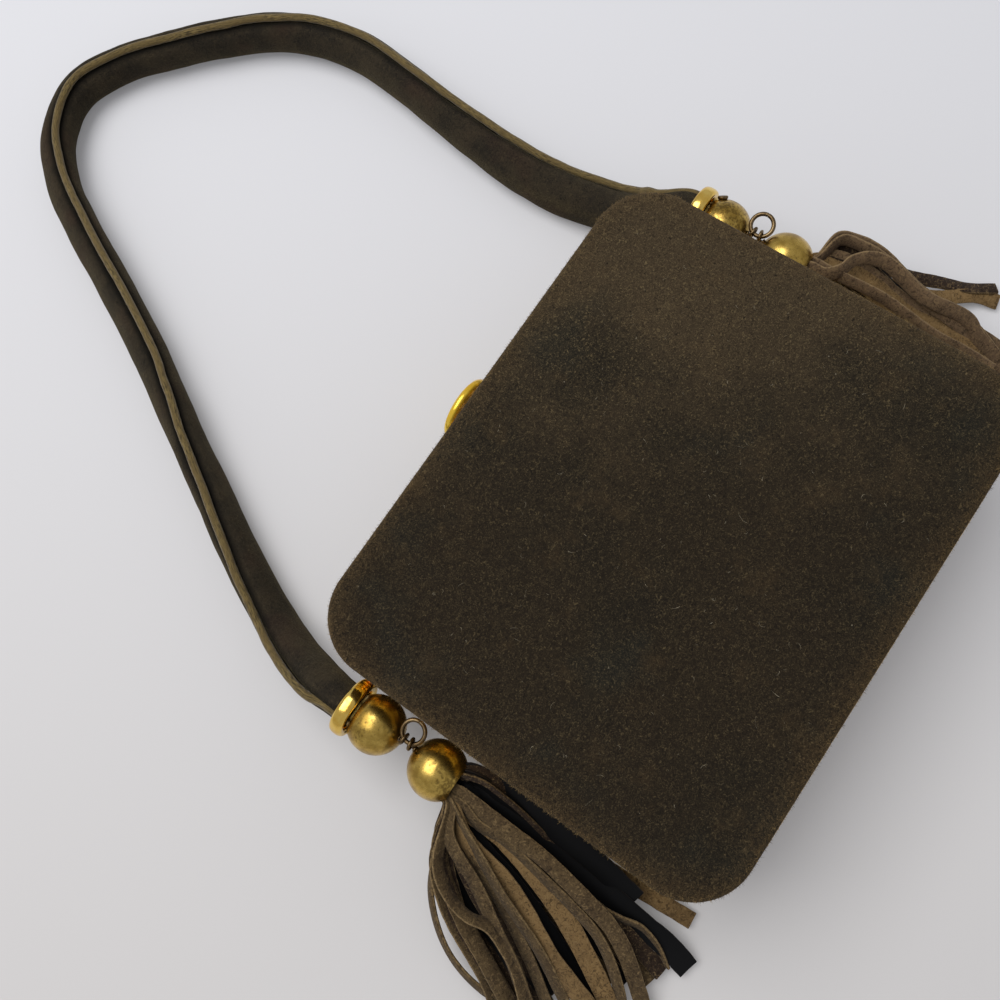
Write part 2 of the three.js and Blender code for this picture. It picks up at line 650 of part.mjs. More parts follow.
function tassel(side) {
  const rings = [];
  const path = new THREE.CatmullRomCurve3(TASSEL_STATIONS.map((s) => new THREE.Vector3(s.out, -s.along, s.z)));
  const sizes = new THREE.CatmullRomCurve3(TASSEL_STATIONS.map((s) => new THREE.Vector3(s.wide, s.thick, 0)));
  const steps = 2 * (TASSEL_STATIONS.length - 1);
  for (let row = 0; row <= steps; row += 1) {
    const middle = path.getPoint(row / steps);
    const size = sizes.getPoint(row / steps);
    const ring = [];
    for (let k = 0; k < TASSEL_SIDES; k += 1) {
      const angle = 2 * Math.PI * k / TASSEL_SIDES;
      ring.push(new THREE.Vector3(
        side.sign * (RING_X + middle.x) + size.x * Math.cos(angle),
        tasselBallY + middle.y,
        middle.z + size.y * Math.sin(angle),
      ));
    }
    rings.push(ring);
  }
  return outwards(rings);
}

// The rings may run either way round, so the body is turned outside out if its volume is negative
function outwards(rings) {
  const flipped = rings.map((ring) => [...ring].reverse());
  const centre = (ring) => ring.reduce((sum, p) => sum.add(p), new THREE.Vector3()).divideScalar(ring.length);
  const along = centre(rings[1]).sub(centre(rings[0]));
  const spoke = rings[0][0].clone().sub(centre(rings[0]));
  const next = rings[0][1].clone().sub(centre(rings[0]));
  return loft(spoke.cross(next).dot(along) > 0 ? rings : flipped);
}

// The strap's middle line and lean, between its stations
const strapPath = new THREE.CatmullRomCurve3(STRAP_STATIONS.map(({ x, y, z, lean }) => {
  const angle = THREE.MathUtils.degToRad(lean);
  const rest = Math.hypot(STRAP_HALF_HEIGHT * Math.cos(angle), STRAP_HALF_THICKNESS * Math.sin(angle));
  return new THREE.Vector3(x * RING_X / ROUTE_RING_X, y, z === null ? rest + FLOOR_CLEARANCE : z);
}));

function strapFrame(station) {
  const last = STRAP_STATIONS.length - 1;
  const low = Math.min(Math.floor(station), last - 1);
  const share = station - low;
  const between = (key) => THREE.MathUtils.lerp(STRAP_STATIONS[low][key], STRAP_STATIONS[low + 1][key], share);
  const middle = strapPath.getPoint(station / last);
  const along = strapPath.getTangent(station / last);
  const out = new THREE.Vector3(0, 0, 1).cross(along).normalize();
  const up = along.clone().cross(out);
  const angle = THREE.MathUtils.degToRad(between('lean'));
  const edge = up.clone().multiplyScalar(Math.cos(angle)).addScaledVector(out, -Math.sin(angle));
  const flat = out.clone().multiplyScalar(Math.cos(angle)).addScaledVector(up, Math.sin(angle));
  const height = THREE.MathUtils.lerp(STRAP_HALF_HEIGHT, STRAP_END_RADIUS, between('narrow'));
  const thickness = THREE.MathUtils.lerp(STRAP_HALF_THICKNESS, STRAP_END_RADIUS, between('narrow'));
  return { middle, edge, flat, height, thickness };
}

function sweptTube(first, last, steps, sides, section) {
  const rings = [];
  for (let row = 0; row <= steps; row += 1) {
    const frame = strapFrame(THREE.MathUtils.lerp(first, last, row / steps));
    const { centre, height, thickness } = section(frame);
    const ring = [];
    for (let k = 0; k < sides; k += 1) {
      const angle = 2 * Math.PI * k / sides;
      ring.push(centre.clone()
        .addScaledVector(frame.edge, height * Math.cos(angle))
        .addScaledVector(frame.flat, thickness * Math.sin(angle)));
    }
    rings.push(ring);
  }
  return outwards(rings);
}

function strap() {
  const section = ({ middle, height, thickness }) => ({ centre: middle, height, thickness });
  const tube = sweptTube(0, STRAP_STATIONS.length - 1, 62, 12, section);
  return SIDES.reduce((rest, side) => {
    const stopper = new THREE.Vector3(side.sign * RING_X, stopperY, HARDWARE_HEIGHT);
    return rest.subtract(ball(stopper, BALL_RADIUS + FIT_GAP)).subtract(stopperPin(side, FIT_GAP));
  }, tube);
}

function strapPiping() {
  const section = ({ middle, edge, height }) => ({
    centre: middle.clone().addScaledVector(edge, height + FIT_GAP + PIPING_RADIUS),
    height: PIPING_RADIUS,
    thickness: PIPING_RADIUS,
  });
  return sweptTube(PIPING_FIRST_STATION, PIPING_LAST_STATION, 60, 6, section);
}

function chain(side) {
  const group = new THREE.Group();
  const add = (name, solid, material) => group.add(meshOf(`${name}_${side.name}`, solid, material));
  add('side_ring', sideRing(side), gilt());
  add('side_ring_nut', sideRingNut(side), steel());
  add('stopper_ball', stopperBall(side), antiqueBrass());
  add('stopper_pin', stopperPin(side), bronzeWire());
  add('stopper_eye', eye(side, 1), bronzeWire());
  add('jump_ring', jumpRing(side), bronzeWire());
  add('tassel_ball', tasselBall(side), antiqueBrass());
  add('tassel_eye', eye(side, -1), bronzeWire());
  add('tassel', tassel(side), suedeStrips());
  return group;
}

const minaudiere = new THREE.Group();
minaudiere.add(backHalf(), frontHalf(), hinge(), clasp());
minaudiere.add(meshOf('strap', strap(), velvet()));
minaudiere.add(meshOf('strap_piping', strapPiping(), cording()));
SIDES.forEach((side) => minaudiere.add(chain(side)));

export default minaudiere;
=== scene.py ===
"""The looks of a hard suede evening bag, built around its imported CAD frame.

The bag lies on its back on a pale table. Everything is in metres, in the frame of the CAD model: the origin is
the centre of the case's back face, +Y runs to the clasp and +Z out of the front face.
"""

import logging
import math
import random
from contextlib import contextmanager
from dataclasses import dataclass
from enum import Enum
from typing import Callable, Iterator, Sequence

import bmesh
import bpy
from mathutils import Matrix, Vector, noise


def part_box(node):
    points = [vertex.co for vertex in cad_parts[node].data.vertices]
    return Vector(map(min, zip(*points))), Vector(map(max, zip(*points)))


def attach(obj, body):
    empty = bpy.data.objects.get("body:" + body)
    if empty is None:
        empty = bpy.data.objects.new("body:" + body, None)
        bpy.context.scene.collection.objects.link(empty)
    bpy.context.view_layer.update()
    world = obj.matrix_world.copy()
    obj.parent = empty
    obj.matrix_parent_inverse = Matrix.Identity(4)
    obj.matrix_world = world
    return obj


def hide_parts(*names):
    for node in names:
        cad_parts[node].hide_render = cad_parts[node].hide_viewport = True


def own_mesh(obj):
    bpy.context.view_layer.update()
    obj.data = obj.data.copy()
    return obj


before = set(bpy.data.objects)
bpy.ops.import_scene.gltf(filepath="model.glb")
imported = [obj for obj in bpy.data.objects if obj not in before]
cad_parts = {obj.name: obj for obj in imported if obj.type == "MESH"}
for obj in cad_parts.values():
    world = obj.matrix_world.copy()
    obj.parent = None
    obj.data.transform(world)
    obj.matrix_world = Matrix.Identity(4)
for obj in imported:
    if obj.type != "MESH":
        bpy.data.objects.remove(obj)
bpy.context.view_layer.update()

log = logging.getLogger("minaudiere")
MM = 0.001


# Numbers, colours and curves


def srgb(red: float, green: float, blue: float) -> tuple[float, float, float, float]:
    """A colour written in screen values from 0 to 255, as the linear colour that shaders use."""

    def linear(value: float) -> float:
        """One channel, made linear."""
        share = value / 255
        return share / 12.92 if share <= 0.04045 else ((share + 0.055) / 1.055) ** 2.4

    return (linear(red), linear(green), linear(blue), 1.0)


def mix(first: float, second: float, share: float) -> float:
    """The number that lies share of the way from first to second."""
    return first + (second - first) * share


def smooth(low: float, high: float, value: float) -> float:
    """0 below low, 1 above high, and an S curve between."""
    share = min(max((value - low) / (high - low), 0.0), 1.0)
    return share * share * (3 - 2 * share)


class Route:
    """A smooth centripetal curve through points, as the CAD model's own curves are."""

    def __init__(self, points: Sequence[Vector]) -> None:
        """Keeps the points, with one more beyond each end.

        Args:
            points: Where the curve passes, in order.
        """
        self.points = [2 * points[0] - points[1], *points, 2 * points[-1] - points[-2]]
        self.spans = len(points) - 1

    def at(self, station: float) -> Vector:
        """The point at a station, counted in points from 0.

        Args:
            station: 0 at the first point, 1 at the second, and so on.

        Returns:
            The place on the curve.
        """
        low = min(max(int(station), 0), self.spans - 1)
        share = station - low
        before, start, end, after = self.points[low : low + 4]
        steps = [max((b - a).length, 1e-6) ** 0.5 for a, b in ((before, start), (start, end), (end, after))]
        leave = (start - before) / steps[0] - (end - before) / (steps[0] + steps[1]) + (end - start) / steps[1]
        arrive = (end - start) / steps[1] - (after - start) / (steps[1] + steps[2]) + (after - end) / steps[2]
        leave, arrive = leave * steps[1], arrive * steps[1]
        square = -3 * start + 3 * end - 2 * leave - arrive
        cube = 2 * start - 2 * end + leave + arrive
        return start + leave * share + square * share**2 + cube * share**3

    def along(self, station: float) -> Vector:
        """The curve's direction at a station, one unit long."""
        reach = 0.02
        low = max(station - reach, 0.0)
        high = min(station + reach, float(self.spans))
        return (self.at(high) - self.at(low)).normalized()


# Modelling by operators


def start_clean() -> None:
    """Leaves edit mode and deselects everything, so that an operator acts only on what comes next."""
    if bpy.context.object and bpy.context.object.mode != "OBJECT":
        bpy.ops.object.mode_set(mode="OBJECT")
    bpy.ops.object.select_all(action="DESELECT")


def choose(*pieces: bpy.types.Object) -> None:
    """Selects these objects alone, the first of them active."""
    start_clean()
    for piece in pieces:
        piece.select_set(True)
    bpy.context.view_layer.objects.active = pieces[0]


@contextmanager
def editing(piece: bpy.types.Object, kind: str = "FACE") -> Iterator[bmesh.types.BMesh]:
    """Opens an object in edit mode with nothing selected.

    Args:
        piece: The object to edit.
        kind: What is to be selected: VERT, EDGE or FACE.

    Yields:
        The edit mesh.
    """
    choose(piece)
    bpy.ops.object.mode_set(mode="EDIT")
    bpy.ops.mesh.select_mode(type=kind)
    bpy.ops.mesh.select_all(action="DESELECT")
    yield bmesh.from_edit_mesh(piece.data)
    bpy.ops.object.mode_set(mode="OBJECT")


def pick_edges(mesh: bmesh.types.BMesh, wanted: Callable[[Vector, Vector], bool]) -> None:
    """Selects the edges whose two ends answer a test, and nothing else."""
    for edge in mesh.edges:
        edge.select_set(wanted(edge.verts[0].co, edge.verts[1].co))
    mesh.select_flush_mode()


def pick_faces(mesh: bmesh.types.BMesh, wanted: Callable[[Vector, Vector], bool]) -> None:
    """Selects the faces whose middle and normal answer a test, and nothing else."""
    for face in mesh.faces:
        face.select_set(wanted(face.calc_center_median(), face.normal))


def place_in_mesh(piece: bpy.types.Object, name: str) -> bpy.types.Object:
    """Moves an object's place into its mesh and names it."""
    choose(piece)
    bpy.ops.object.transform_apply(location=True, rotation=True, scale=True)
    piece.name = name
    piece.data.name = name
    return piece


def modify(piece: bpy.types.Object, kind: str, **settings: object) -> None:
    """Adds a modifier with these settings and applies it."""
    choose(piece)
    modifier = piece.modifiers.new(kind.title(), kind)
    for key, value in settings.items():
        setattr(modifier, key, value)
    bpy.ops.object.modifier_apply(modifier=modifier.name)


def soften(piece: bpy.types.Object, width: float, segments: int = 3) -> None:
    """Rounds every sharp edge of a piece by a small width."""
    modify(piece, "BEVEL", width=width, segments=segments, limit_method="ANGLE", angle_limit=math.radians(38))
    shade(piece)


def shade(piece: bpy.types.Object, angle: float = 35) -> None:
    """Shades a piece smooth, apart from edges sharper than an angle in degrees."""
    choose(piece)
    bpy.ops.object.shade_smooth_by_angle(angle=math.radians(angle))


def fuse(piece: bpy.types.Object, other: bpy.types.Object, operation: str = "UNION") -> None:
    """Joins another closed piece to this one, or cuts it out, and removes the other."""
    modify(piece, "BOOLEAN", object=other, operation=operation, solver="EXACT")
    bpy.data.objects.remove(other)


def rod(start: Vector, end: Vector, radius: float, sides: int = 32) -> bpy.types.Object:
    """A round bar from one point to another."""
    start_clean()
    turn = (end - start).to_track_quat("Z", "Y").to_euler()
    bpy.ops.mesh.primitive_cylinder_add(
        vertices=sides, radius=radius, depth=(end - start).length, location=(start + end) / 2, rotation=turn
    )
    return place_in_mesh(bpy.context.object, "rod")


def bar(low: Vector, high: Vector) -> bpy.types.Object:
    """A block between two corners."""
    start_clean()
    bpy.ops.mesh.primitive_cube_add(size=1, location=(low + high) / 2, scale=high - low)
    return place_in_mesh(bpy.context.object, "bar")


def wire_ring(name: str, centre: Vector, axis: Vector, radius: float, wire: float) -> bpy.types.Object:
    """A round wire bent into a circle about an axis."""
    start_clean()
    bpy.ops.mesh.primitive_torus_add(
        location=centre,
        rotation=axis.to_track_quat("Z", "Y").to_euler(),
        major_radius=radius,
        minor_radius=wire,
        major_segments=72,
        minor_segments=18,
    )
    return place_in_mesh(bpy.context.object, name)


def turned(name: str, profile: Sequence[tuple[float, float]], centre: Vector, steps: int = 96) -> bpy.types.Object:
    """A body turned about an axis along Y.

    Args:
        name: The new object's name.
        profile: Radius and y of each point. It starts and ends on the axis, or closes on itself.
        centre: A point of the axis; its y is added to the profile's.
        steps: How many steps go round.

    Returns:
        The object.
    """
    start_clean()
    points = [centre + Vector((radius, y, 0)) for radius, y in profile]
    data = bpy.data.meshes.new(name)
    data.from_pydata(points, [(k, k + 1) for k in range(len(points) - 1)], [])
    piece = bpy.data.objects.new(name, data)
    bpy.context.scene.collection.objects.link(piece)
    with editing(piece, "VERT"):
        bpy.ops.mesh.select_all(action="SELECT")
        bpy.ops.mesh.spin(steps=steps, angle=2 * math.pi, center=centre, axis=(0, 1, 0))
        bpy.ops.mesh.select_all(action="SELECT")
        bpy.ops.mesh.remove_doubles(threshold=1e-6)
        bpy.ops.mesh.normals_make_consistent(inside=False)
    shade(piece)
    return piece


@dataclass(frozen=True)
class Section:
    """One cross-section of a swept piece: its points, and how far along the sweep it lies."""

    points: Sequence[Vector]
    along: float


def swept(name: str, sections: Sequence[Section]) -> bpy.types.Object:
    """A closed body through a row of sections, with a UV map that follows it.

    Args:
        name: The new object's name.
        sections: The cross-sections in order, each with the same number of points.

    Returns:
        The object. U is the distance along in metres and V runs from 0 to 1 round the section.
    """
    sides = len(sections[0].points)
    points = [point for section in sections for point in section.points]
    faces = []
    for row in range(len(sections) - 1):
        for k in range(sides):
            a, b = row * sides + k, row * sides + (k + 1) % sides
            faces.append((a, b, b + sides, a + sides))
    faces.append(tuple(reversed(range(sides))))
    faces.append(tuple(range(len(points) - sides, len(points))))
    data = bpy.data.meshes.new(name)
    data.from_pydata(points, [], faces)
    layer = data.uv_layers.new(name="UVMap")
    for polygon in data.polygons:
        for corner, loop in enumerate(polygon.loop_indices):
            row, k = divmod(data.loops[loop].vertex_index, sides)
            wraps = len(polygon.loop_indices) == 4 and corner in (1, 2) and k == 0
            layer.data[loop].uv = (sections[row].along, (k + (sides if wraps else 0)) / sides)
    piece = bpy.data.objects.new(name, data)
    bpy.context.scene.collection.objects.link(piece)
    with editing(piece):
        bpy.ops.mesh.select_all(action="SELECT")
        bpy.ops.mesh.normals_make_consistent(inside=False)
    return piece


# Materials


@dataclass(frozen=True)
class Signal:
    """A value that varies over a surface. Arithmetic on it adds Math nodes."""

    paint: "Paint"
    socket: bpy.types.NodeSocket

    def math(self, operation: str, *others: "Signal | float") -> "Signal":
        """The result of a Math node with this value first."""
        inputs = dict(enumerate((self, *others)))
        return self.paint.node("ShaderNodeMath", {"operation": operation}, inputs)

    def __add__(self, other: "Signal | float") -> "Signal":
        """self + other."""
        return self.math("ADD", other)

    __radd__ = __add__

    def __mul__(self, other: "Signal | float") -> "Signal":
        """self * other."""
        return self.math("MULTIPLY", other)

    __rmul__ = __mul__

    def __sub__(self, other: "Signal | float") -> "Signal":
        """self - other."""
        return self.math("SUBTRACT", other)

    def __rsub__(self, other: float) -> "Signal":
        """other - self."""
        return self.paint.node("ShaderNodeMath", {"operation": "SUBTRACT"}, {0: other, 1: self})

    def __abs__(self) -> "Signal":
        """The size of the value without its sign."""
        return self.math("ABSOLUTE")

    def step(self, low: float, high: float, start: float = 0.0, end: float = 1.0) -> "Signal":
        """An S curve from start, where the value is low, to end, where it is high."""
        return self.paint.node(
            "ShaderNodeMapRange",
            {"interpolation_type": "SMOOTHSTEP"},
            {"Value": self, "From Min": low, "From Max": high, "To Min": start, "To Max": end},
        )


class Paint:
    """One material, with its shader and the nodes that feed it."""

    def __init__(self, name: str, **constants: float | tuple) -> None:
        """Makes the material.

        Args:
            name: The material's name.
            constants: Values for the shader's own sockets, with _ in place of spaces.
        """
        self.material = bpy.data.materials.new(name)
        self.material.use_nodes = True
        self.tree = self.material.node_tree
        self.shader = self.tree.nodes["Principled BSDF"]
        for key, value in constants.items():
            self.shader.inputs[key.replace("_", " ")].default_value = value

    def node(self, kind: str, settings: dict | None = None, inputs: dict | None = None, output: int | str = 0) -> Signal:
        """Adds a node.

        Args:
            kind: The node's type.
            settings: Its own settings; "stops" gives a colour ramp's positions and colours.
            inputs: Values or signals for its sockets, by name or number.
            output: Which output to return.

        Returns:
            The chosen output.
        """
        made = self.tree.nodes.new(kind)
        for key, value in (settings or {}).items():
            if key == "stops":
                while len(made.color_ramp.elements) < len(value):
                    made.color_ramp.elements.new(0.5)
                for element, (position, colour) in zip(made.color_ramp.elements, value):
                    element.position, element.color = position, colour
            else:
                setattr(made, key, value)
        for key, value in (inputs or {}).items():
            if isinstance(value, Signal):
                self.tree.links.new(value.socket, made.inputs[key])
            else:
                made.inputs[key].default_value = value
        return Signal(self, made.outputs[output])

    def place(self) -> Signal:
        """The point of the surface, in metres."""
        return self.node("ShaderNodeTexCoord", output="Object")

    def uv(self, lengthwise: float = 1.0, round_about: float = 1.0) -> Signal:
        """The piece's own UV map, stretched by two factors."""
        chart = self.node("ShaderNodeTexCoord", output="UV")
        return self.node("ShaderNodeMapping", {}, {"Vector": chart, "Scale": (lengthwise, round_about, 1.0)})

    def noise(
        self, scale: float, where: Signal | None = None, detail: float = 3, rough: float = 0.55, swirl: float = 0.0
    ) -> Signal:
        """Cloudy noise from about 0.2 to 0.8.

        Args:
            scale: Clouds to the metre.
            where: The place that it is read at, or None for the surface's own.
            detail: How many finer layers it has.
            rough: How strong the finer layers are.
            swirl: How far the clouds are curled.

        Returns:
            The noise.
        """
        inputs = {"Vector": where or self.place(), "Scale": scale, "Detail": detail, "Roughness": rough}
        return self.node("ShaderNodeTexNoise", {}, inputs | {"Distortion": swirl})

    def blend(self, factor: Signal | float, first: Signal | tuple, second: Signal | tuple) -> Signal:
        """The colour that lies factor of the way from first to second."""
        inputs = {"Factor": factor, 6: first, 7: second}
        return self.node("ShaderNodeMix", {"data_type": "RGBA"}, inputs, output=2)

    def bump(self, height: Signal, distance: float, strength: float = 1.0, below: Signal | None = None) -> Signal:
        """The surface's normal, tilted by a height."""
        inputs: dict = {"Height": height, "Distance": distance, "Strength": strength}
        if below is not None:
            inputs["Normal"] = below
        return self.node("ShaderNodeBump", {}, inputs)

    def feed(self, **signals: Signal) -> None:
        """Links signals to the shader's sockets, with _ in place of spaces."""
        for key, signal in signals.items():
            self.tree.links.new(signal.socket, self.shader.inputs[key.replace("_", " ")])


@dataclass(frozen=True)
class Suede:
    """Suede stretched over the case: dark olive brown, darker and greener in patches, worn at its edge, with painted
    light that makes it lighter towards the far corner.
    """

    # near and far: the face's colour under painted shade on the near side, and under painted light towards the far
    # corner.
    near: tuple = srgb(38, 31, 22)
    far: tuple = srgb(64, 53, 38)
    dark: tuple = srgb(29, 26, 20)
    green: tuple = srgb(30, 33, 29)
    worn: tuple = srgb(84, 66, 42)
    tip: tuple = srgb(106, 92, 64)
    root: tuple = srgb(13, 11, 8)
    lint: tuple = srgb(160, 150, 128)

    def paint(self, half_width: float, half_height: float, corner: float) -> bpy.types.Material:
        """Makes the material for a case of a given outline.

        Args:
            half_width: Half the case's width.
            half_height: Half its height.
            corner: The radius of its corners.

        Returns:
            The material.
        """
        paint = Paint("suede", Roughness=0.95, Sheen_Weight=0.12, Sheen_Roughness=0.5, Specular_IOR_Level=0.12)
        paint.shader.inputs["Sheen Tint"].default_value = srgb(170, 150, 115)
        x, y = (paint.node("ShaderNodeSeparateXYZ", {}, {0: paint.place()}, output=axis) for axis in range(2))
        beyond_x = abs(x) - (half_width - corner)
        beyond_y = abs(y) - (half_height - corner)
        across, down = beyond_x.math("MAXIMUM", 0.0), beyond_y.math("MAXIMUM", 0.0)
        outside = (across * across + down * down).math("SQRT")
        from_edge = corner - outside - beyond_x.math("MAXIMUM", beyond_y).math("MINIMUM", 0.0)
        at_corner = outside.step(0.55 * corner, corner)
        patches = paint.noise(15, detail=3, rough=0.6)
        drag = paint.noise(85, detail=5, rough=0.7)
        nap = paint.noise(560, detail=3, rough=0.7)
        curl = paint.noise(1150, detail=5, rough=0.8, swirl=2.0)
        # Painted light: the face blends from the near colour to the lighter far colour towards the far corner.
        painted_light = (x * 0.83 + y * 0.55 + drag * 0.05).step(0.02, 0.09)
        colour = paint.blend(painted_light, self.near, self.far)
        colour = paint.blend(patches.step(0.42, 0.66) * 0.8, colour, self.dark)
        colour = paint.blend(paint.noise(24, detail=3).step(0.54, 0.68) * 0.5, colour, self.green)
        colour = paint.blend(drag.step(0.52, 0.74) * 0.2, colour, self.worn)
        rim = from_edge.step(0.010, 0.001) * 0.25 + from_edge.step(0.0026, 0.0002) * 0.4 + at_corner * 0.25
        wear = rim * (nap * 0.2 + curl * 0.8).step(0.4, 0.6)
        colour = paint.blend(wear.math("MINIMUM", 1.0), colour, self.worn)
        # Nap grain: pale fibre tips and dark roots, both scaled by the painted light.
        colour = paint.blend(curl.step(0.52, 0.66) * (painted_light * 0.4 + 0.6), colour, self.tip)
        colour = paint.blend(curl.step(0.49, 0.34) * (painted_light * 0.2 + 0.8), colour, self.root)
        dots = paint.node("ShaderNodeTexVoronoi", {}, {"Vector": paint.place(), "Scale": 150.0})
        colour = paint.blend(dots.step(0.035, 0.02) * patches.step(0.45, 0.55) * 0.5, colour, self.lint)
        paint.feed(Base_Color=colour, Normal=paint.bump(curl + nap * 0.7, 0.0004, 0.8))
        return paint.material


@dataclass(frozen=True)
class Velvet:
    """Crushed velvet on the strap: near black where the pile stands, olive brown where it leans, with painted shade in
    the crease beside the piping.
    """

    deep: tuple = srgb(38, 34, 28)
    lit: tuple = srgb(54, 47, 36)
    russet: tuple = srgb(52, 38, 31)
    worn: tuple = srgb(92, 80, 54)
    # root is the dark between the pile's fibres, and also the painted shade in the crease beside the piping.
    root: tuple = srgb(10, 9, 8)

    def paint(self) -> bpy.types.Material:
        """Makes the material."""
        paint = Paint("velvet", Roughness=0.92, Sheen_Weight=0.35, Sheen_Roughness=0.4, Specular_IOR_Level=0.1)
        paint.shader.inputs["Sheen Tint"].default_value = srgb(150, 136, 102)
        crush = paint.noise(110, detail=4, rough=0.65)
        pile = paint.noise(1300, detail=4, rough=0.75, swirl=1.5)
        colour = paint.blend(crush.step(0.34, 0.68), self.deep, self.lit)
        colour = paint.blend(paint.noise(45, detail=2).step(0.5, 0.7) * 0.5, colour, self.russet)
        around = paint.node("ShaderNodeSeparateXYZ", {}, {0: paint.uv()}, output=1)
        ridge = abs(abs(around - 0.5) - 0.33).step(0.07, 0.0)
        colour = paint.blend(ridge * pile.step(0.35, 0.7) * 0.35, colour, self.worn)
        colour = paint.blend(pile.step(0.54, 0.7) * 0.5, colour, self.worn)
        colour = paint.blend(pile.step(0.5, 0.34) * 0.65, colour, self.root)
        # Painted shade: the velvet beside the piping, in the seam's crease, is darkened almost to black.
        colour = paint.blend(abs(around - 0.5).step(0.1, 0.035) * 0.95, colour, self.root)
        paint.feed(Base_Color=colour, Normal=paint.bump(pile + crush * 0.5, 0.0004, 0.8))
        return paint.material


@dataclass(frozen=True)
class Cording:
    """Piping covered in an olive gold cloth, its fibres running along it."""

    light: tuple = srgb(124, 106, 64)
    mid: tuple = srgb(96, 80, 47)
    dark: tuple = srgb(46, 37, 23)

    def paint(self) -> bpy.types.Material:
        """Makes the material."""
        paint = Paint("cording", Roughness=0.82, Sheen_Weight=0.25, Sheen_Roughness=0.4, Specular_IOR_Level=0.2)
        fibres = paint.noise(1.0, paint.uv(420, 22), detail=4, rough=0.7)
        slub = paint.noise(1.0, paint.uv(60, 2), detail=3)
        colour = paint.blend(fibres.step(0.34, 0.64), self.dark, self.light)
        colour = paint.blend(slub.step(0.36, 0.62) * 0.7, colour, self.mid)
        paint.feed(Base_Color=colour, Normal=paint.bump(fibres + slub * 0.6, 0.0003, 0.8))
        return paint.material


@dataclass(frozen=True)
class Metal:
    """A metal with clouds of wear: two colours, tarnish in spots, and a range of roughness."""

    name: str
    bright: tuple
    dull: tuple
    tarnish: tuple
    polished: float
    worn: float
    spots: float
    dents: float = 0.00005
    lacquer: float = 0.0

    def paint(self) -> bpy.types.Material:
        """Makes the material."""
        paint = Paint(self.name, Metallic=1.0 - self.lacquer)
        cloud = paint.noise(190, detail=4, rough=0.6)
        fine = paint.noise(1100, detail=4, rough=0.7)
        broad = paint.noise(60, detail=2)
        colour = paint.blend(cloud.step(0.36, 0.66), self.bright, self.dull)
        colour = paint.blend((fine * 0.55 + broad * 0.45).step(0.5, 0.62) * self.spots, colour, self.tarnish)
        rough = (cloud * 0.5 + fine * 0.5).step(0.34, 0.66, self.polished, self.worn)
        height = broad * 2.0 + fine * 0.25
        paint.feed(Base_Color=colour, Roughness=rough, Normal=paint.bump(height, self.dents, 0.6))
        return paint.material


GILT = Metal("gilt", srgb(238, 204, 110), srgb(222, 178, 76), srgb(160, 114, 46), 0.12, 0.24, 0.2)
AMBER = Metal("amber_gilt", srgb(246, 208, 76), srgb(234, 188, 46), srgb(180, 132, 32), 0.12, 0.24, 0.2, 0.00003, 0.4)
BRASS = Metal("antique_brass", srgb(204, 172, 90), srgb(156, 126, 58), srgb(84, 64, 32), 0.22, 0.38, 0.7, 0.0001)
WIRE = Metal("bronze_wire", srgb(128, 108, 78), srgb(92, 74, 50), srgb(44, 34, 24), 0.26, 0.45, 0.5)
STEEL = Metal("steel", srgb(196, 196, 192), srgb(170, 170, 166), srgb(120, 116, 108), 0.2, 0.36, 0.2)


@dataclass(frozen=True)
class Cloth:
    """A plain woven cloth or board inside the case."""

    name: str
    light: tuple
    dark: tuple
    threads: float
    sheen: float

    def paint(self) -> bpy.types.Material:
        """Makes the material, with its threads along X and Y."""
        paint = Paint(self.name, Roughness=0.72, Sheen_Weight=self.sheen, Specular_IOR_Level=0.3)
        weave = [
            paint.node("ShaderNodeTexWave", {"bands_direction": way}, {"Vector": paint.place(), "Scale": self.threads})
            for way in ("X", "Y", "Z")
        ]
        slub = paint.noise(160, detail=4)
        threads = weave[0] * weave[1] + weave[2] * 0.3
        colour = paint.blend(threads.step(0.0, 0.9) * 0.8 + slub.step(0.35, 0.7) * 0.2, self.dark, self.light)
        paint.feed(Base_Color=colour, Normal=paint.bump(threads + slub, 0.0001, 0.5))
        return paint.material


LINING = Cloth("lining", srgb(128, 98, 62), srgb(88, 64, 40), 700.0, 0.25)
BOARD = Cloth("board", srgb(150, 132, 104), srgb(118, 100, 76), 90.0, 0.0)


